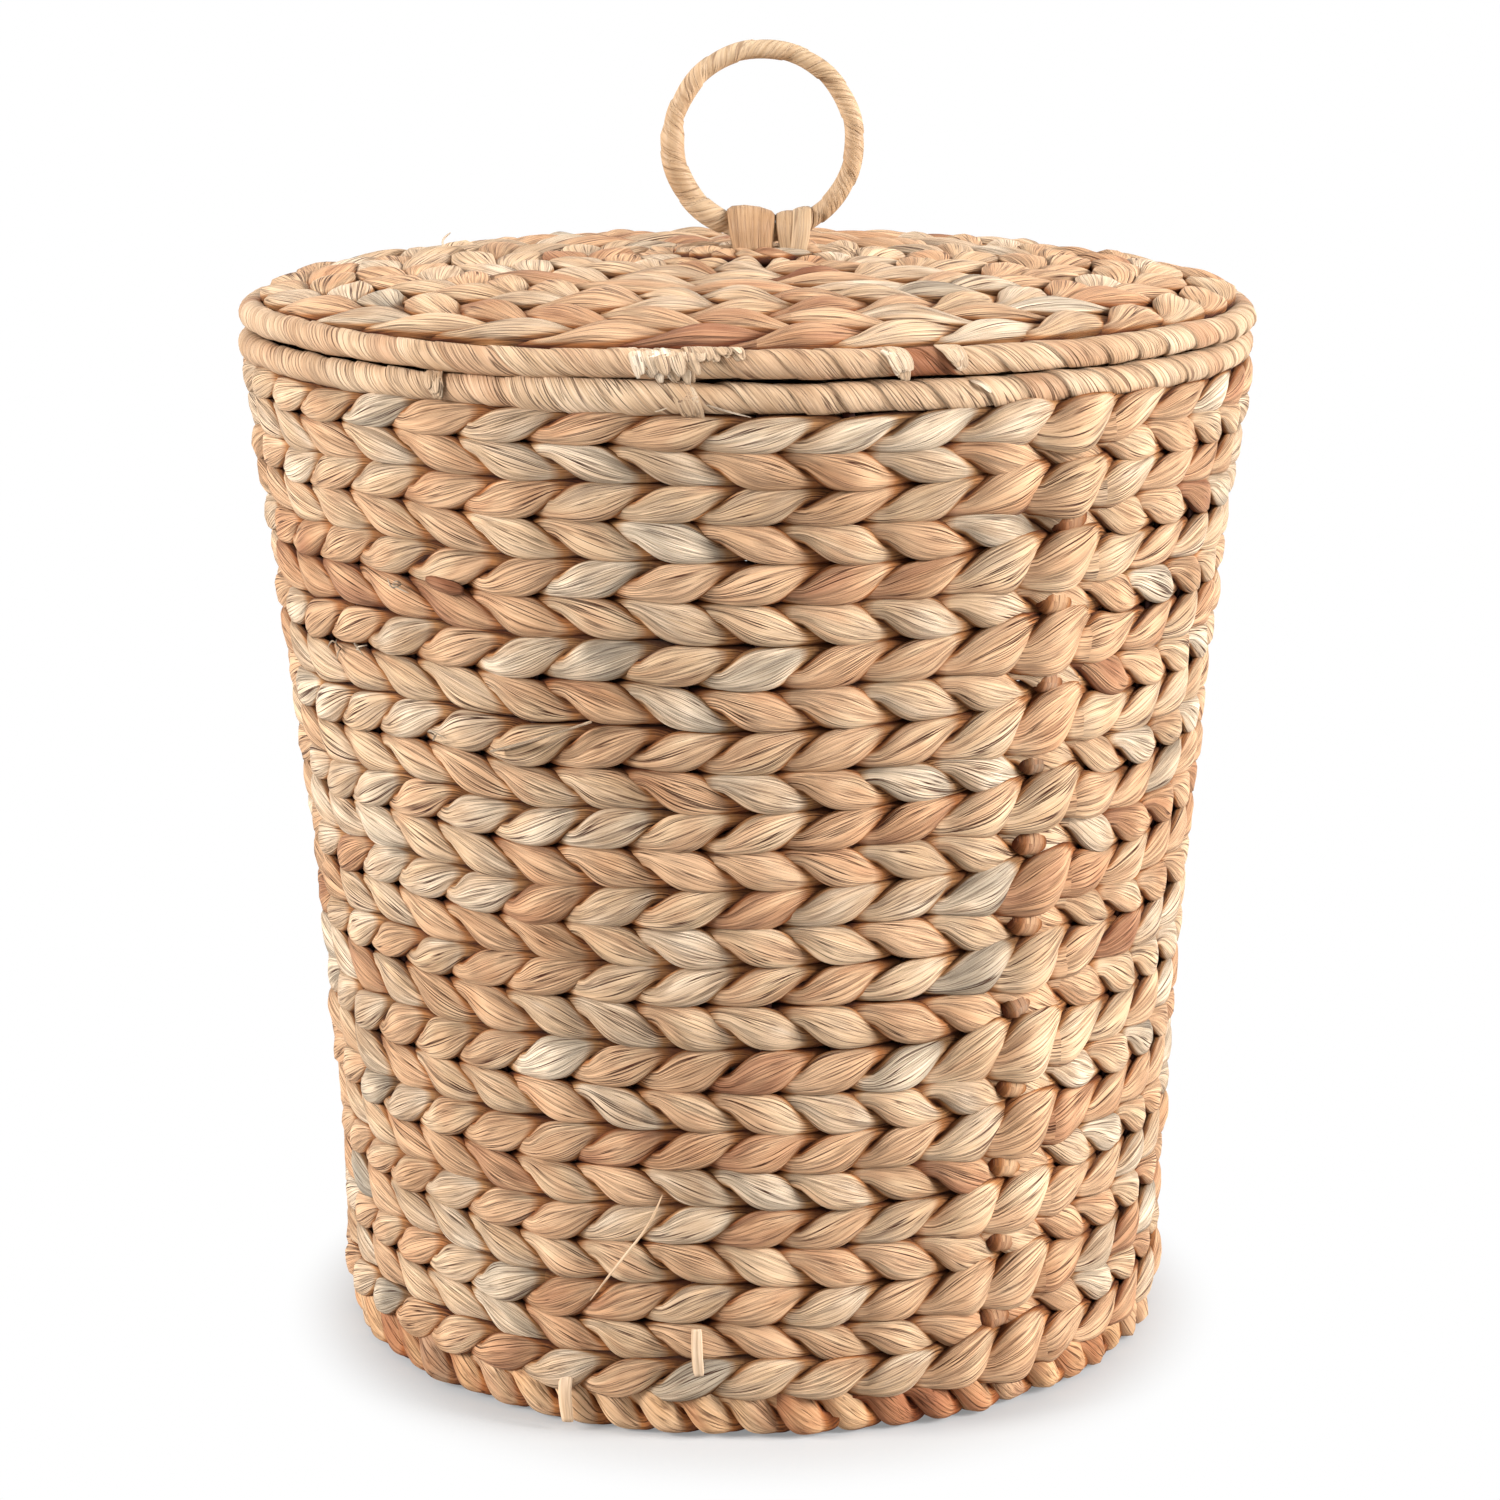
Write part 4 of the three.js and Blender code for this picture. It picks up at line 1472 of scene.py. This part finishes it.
def frays(material):
    """A torn leaf on the left of the wall, a dark strip, and small loose ends near them."""
    pick = random.Random(7)
    strips = Strips()
    torn_leaf(strips, pick)
    for turn, height in FRAYS:
        for fibre in range(FRAY_FIBRES):
            bend = (turn + pick.uniform(-0.8, 1.2), height + pick.uniform(-1, 2.5), 7.2)
            tip = (turn + pick.uniform(-2.4, 2.8), height + pick.uniform(-3, 4), 7)
            wall_strand(strips, [(turn, height, 5), bend, tip], 0.5, 0.4, 0.8)
    wall_strand(strips, DARK_STRIP, 4.2, 1.4, 0.02)
    seat(strips.piece("wall_frays", material), "basket", [])


# The whole

def ring_handle(tree, material):
    low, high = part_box("ring_wrap")
    ring = grown(tree, "ring_handle", {
        "Wraps": 12,
        "Radius": (high.z - low.z) / 2 - 2.9 * MM,
        "Height": 0.0,
        "Half width": 2.6 * MM,
        "Half height": 2.6 * MM,
        "Edge": 0.4 * MM,
        "Unevenness": 0.35,
        "Hand": 0.8,
        "Splice": math.radians(-60),
        "Splice reach": 0.6,
        "Splice lift": 0.8 * MM,
        "Painted edge shade": 0.3,
        "Stand": (math.pi / 2, 0, 0),
        "Shift": (low + high) / 2,
        "Seed": 4.0,
        "Material": material,
    })
    seat(ring, "ring", ["ring_wrap"], leans=False)


def main():
    bpy.context.scene.view_settings.view_transform = "Standard"
    set_camera()
    set_floor()
    set_world()
    set_lamps()

    grain = grain_group()
    fibres = [fibre_material(name, grain, *values) for name, values in FINISHES.items()]
    leaf, strip, foot, handle, cane = fibres
    wire = wire_material()
    twined = round_tree(strand_tree())
    roll = roll_tree()

    wall_rows(twined, leaf)
    stakes = grown(stake_tree(), "stakes", {"Material": cane})
    seat(stakes, "basket", ["wall_stakes"])
    wrapped_roll(roll, "rim_roll", "basket", "rim_wrap", strip, {
        "Wraps": 66, "Radius": RIM_ROLL[0], "Half width": 3.9 * MM, "Half height": 3.8 * MM, "Seed": 1.0,
        "Shift": (0, 0, -0.4 * MM),
        "Hand": -1.4, "Splice": math.radians(-15.2), "Splice reach": 0.164, "Splice lift": 0.9 * MM,
    })
    foot_roll(twined, foot)
    base_rows(twined, leaf)
    middle_rounds(twined, "base_middle", "basket", [], leaf, BASE_RINGS, {
        "Height": BASE_SPOKE_HEIGHT, "Tilt": -math.pi / 2, "Swing": 1.4 * MM, "Half thickness": 2.2 * MM,
    })

    lid_rows(twined, leaf)
    middle_rounds(twined, "lid_middle", "lid", ["lid_start"], leaf, LID_RINGS, {
        "Height": LID_START_TOP - 3.6 * MM, "Tilt": math.pi / 2, "Swing": 1 * MM, "Half thickness": 2.3 * MM,
    })
    wrapped_roll(roll, "lid_roll", "lid", "lid_wrap", strip, {
        "Wraps": 62, "Radius": LID_ROLL[0], "Half width": 3.8 * MM, "Half height": 3.6 * MM, "Seed": 3.0,
        "Hand": -1.4, "Patch": math.radians(18.4), "Patch reach": 0.062, "Patch tone": -0.6,
    })
    ring_handle(roll, handle)
    ties(handle)
    splices(strip)
    stubs_and_fibre(cane)
    frays(leaf)
    seat(grown(knot_tree(), "seam_knots", {"Material": foot}), "basket", [])
    hidden = {"lid_spokes": cane, "lid_hoop": cane, "base_spokes": cane, "rim_hoop": wire, "ring_hoop": wire}
    for node, finish in hidden.items():
        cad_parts[node].data.materials.clear()
        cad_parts[node].data.materials.append(finish)


main()
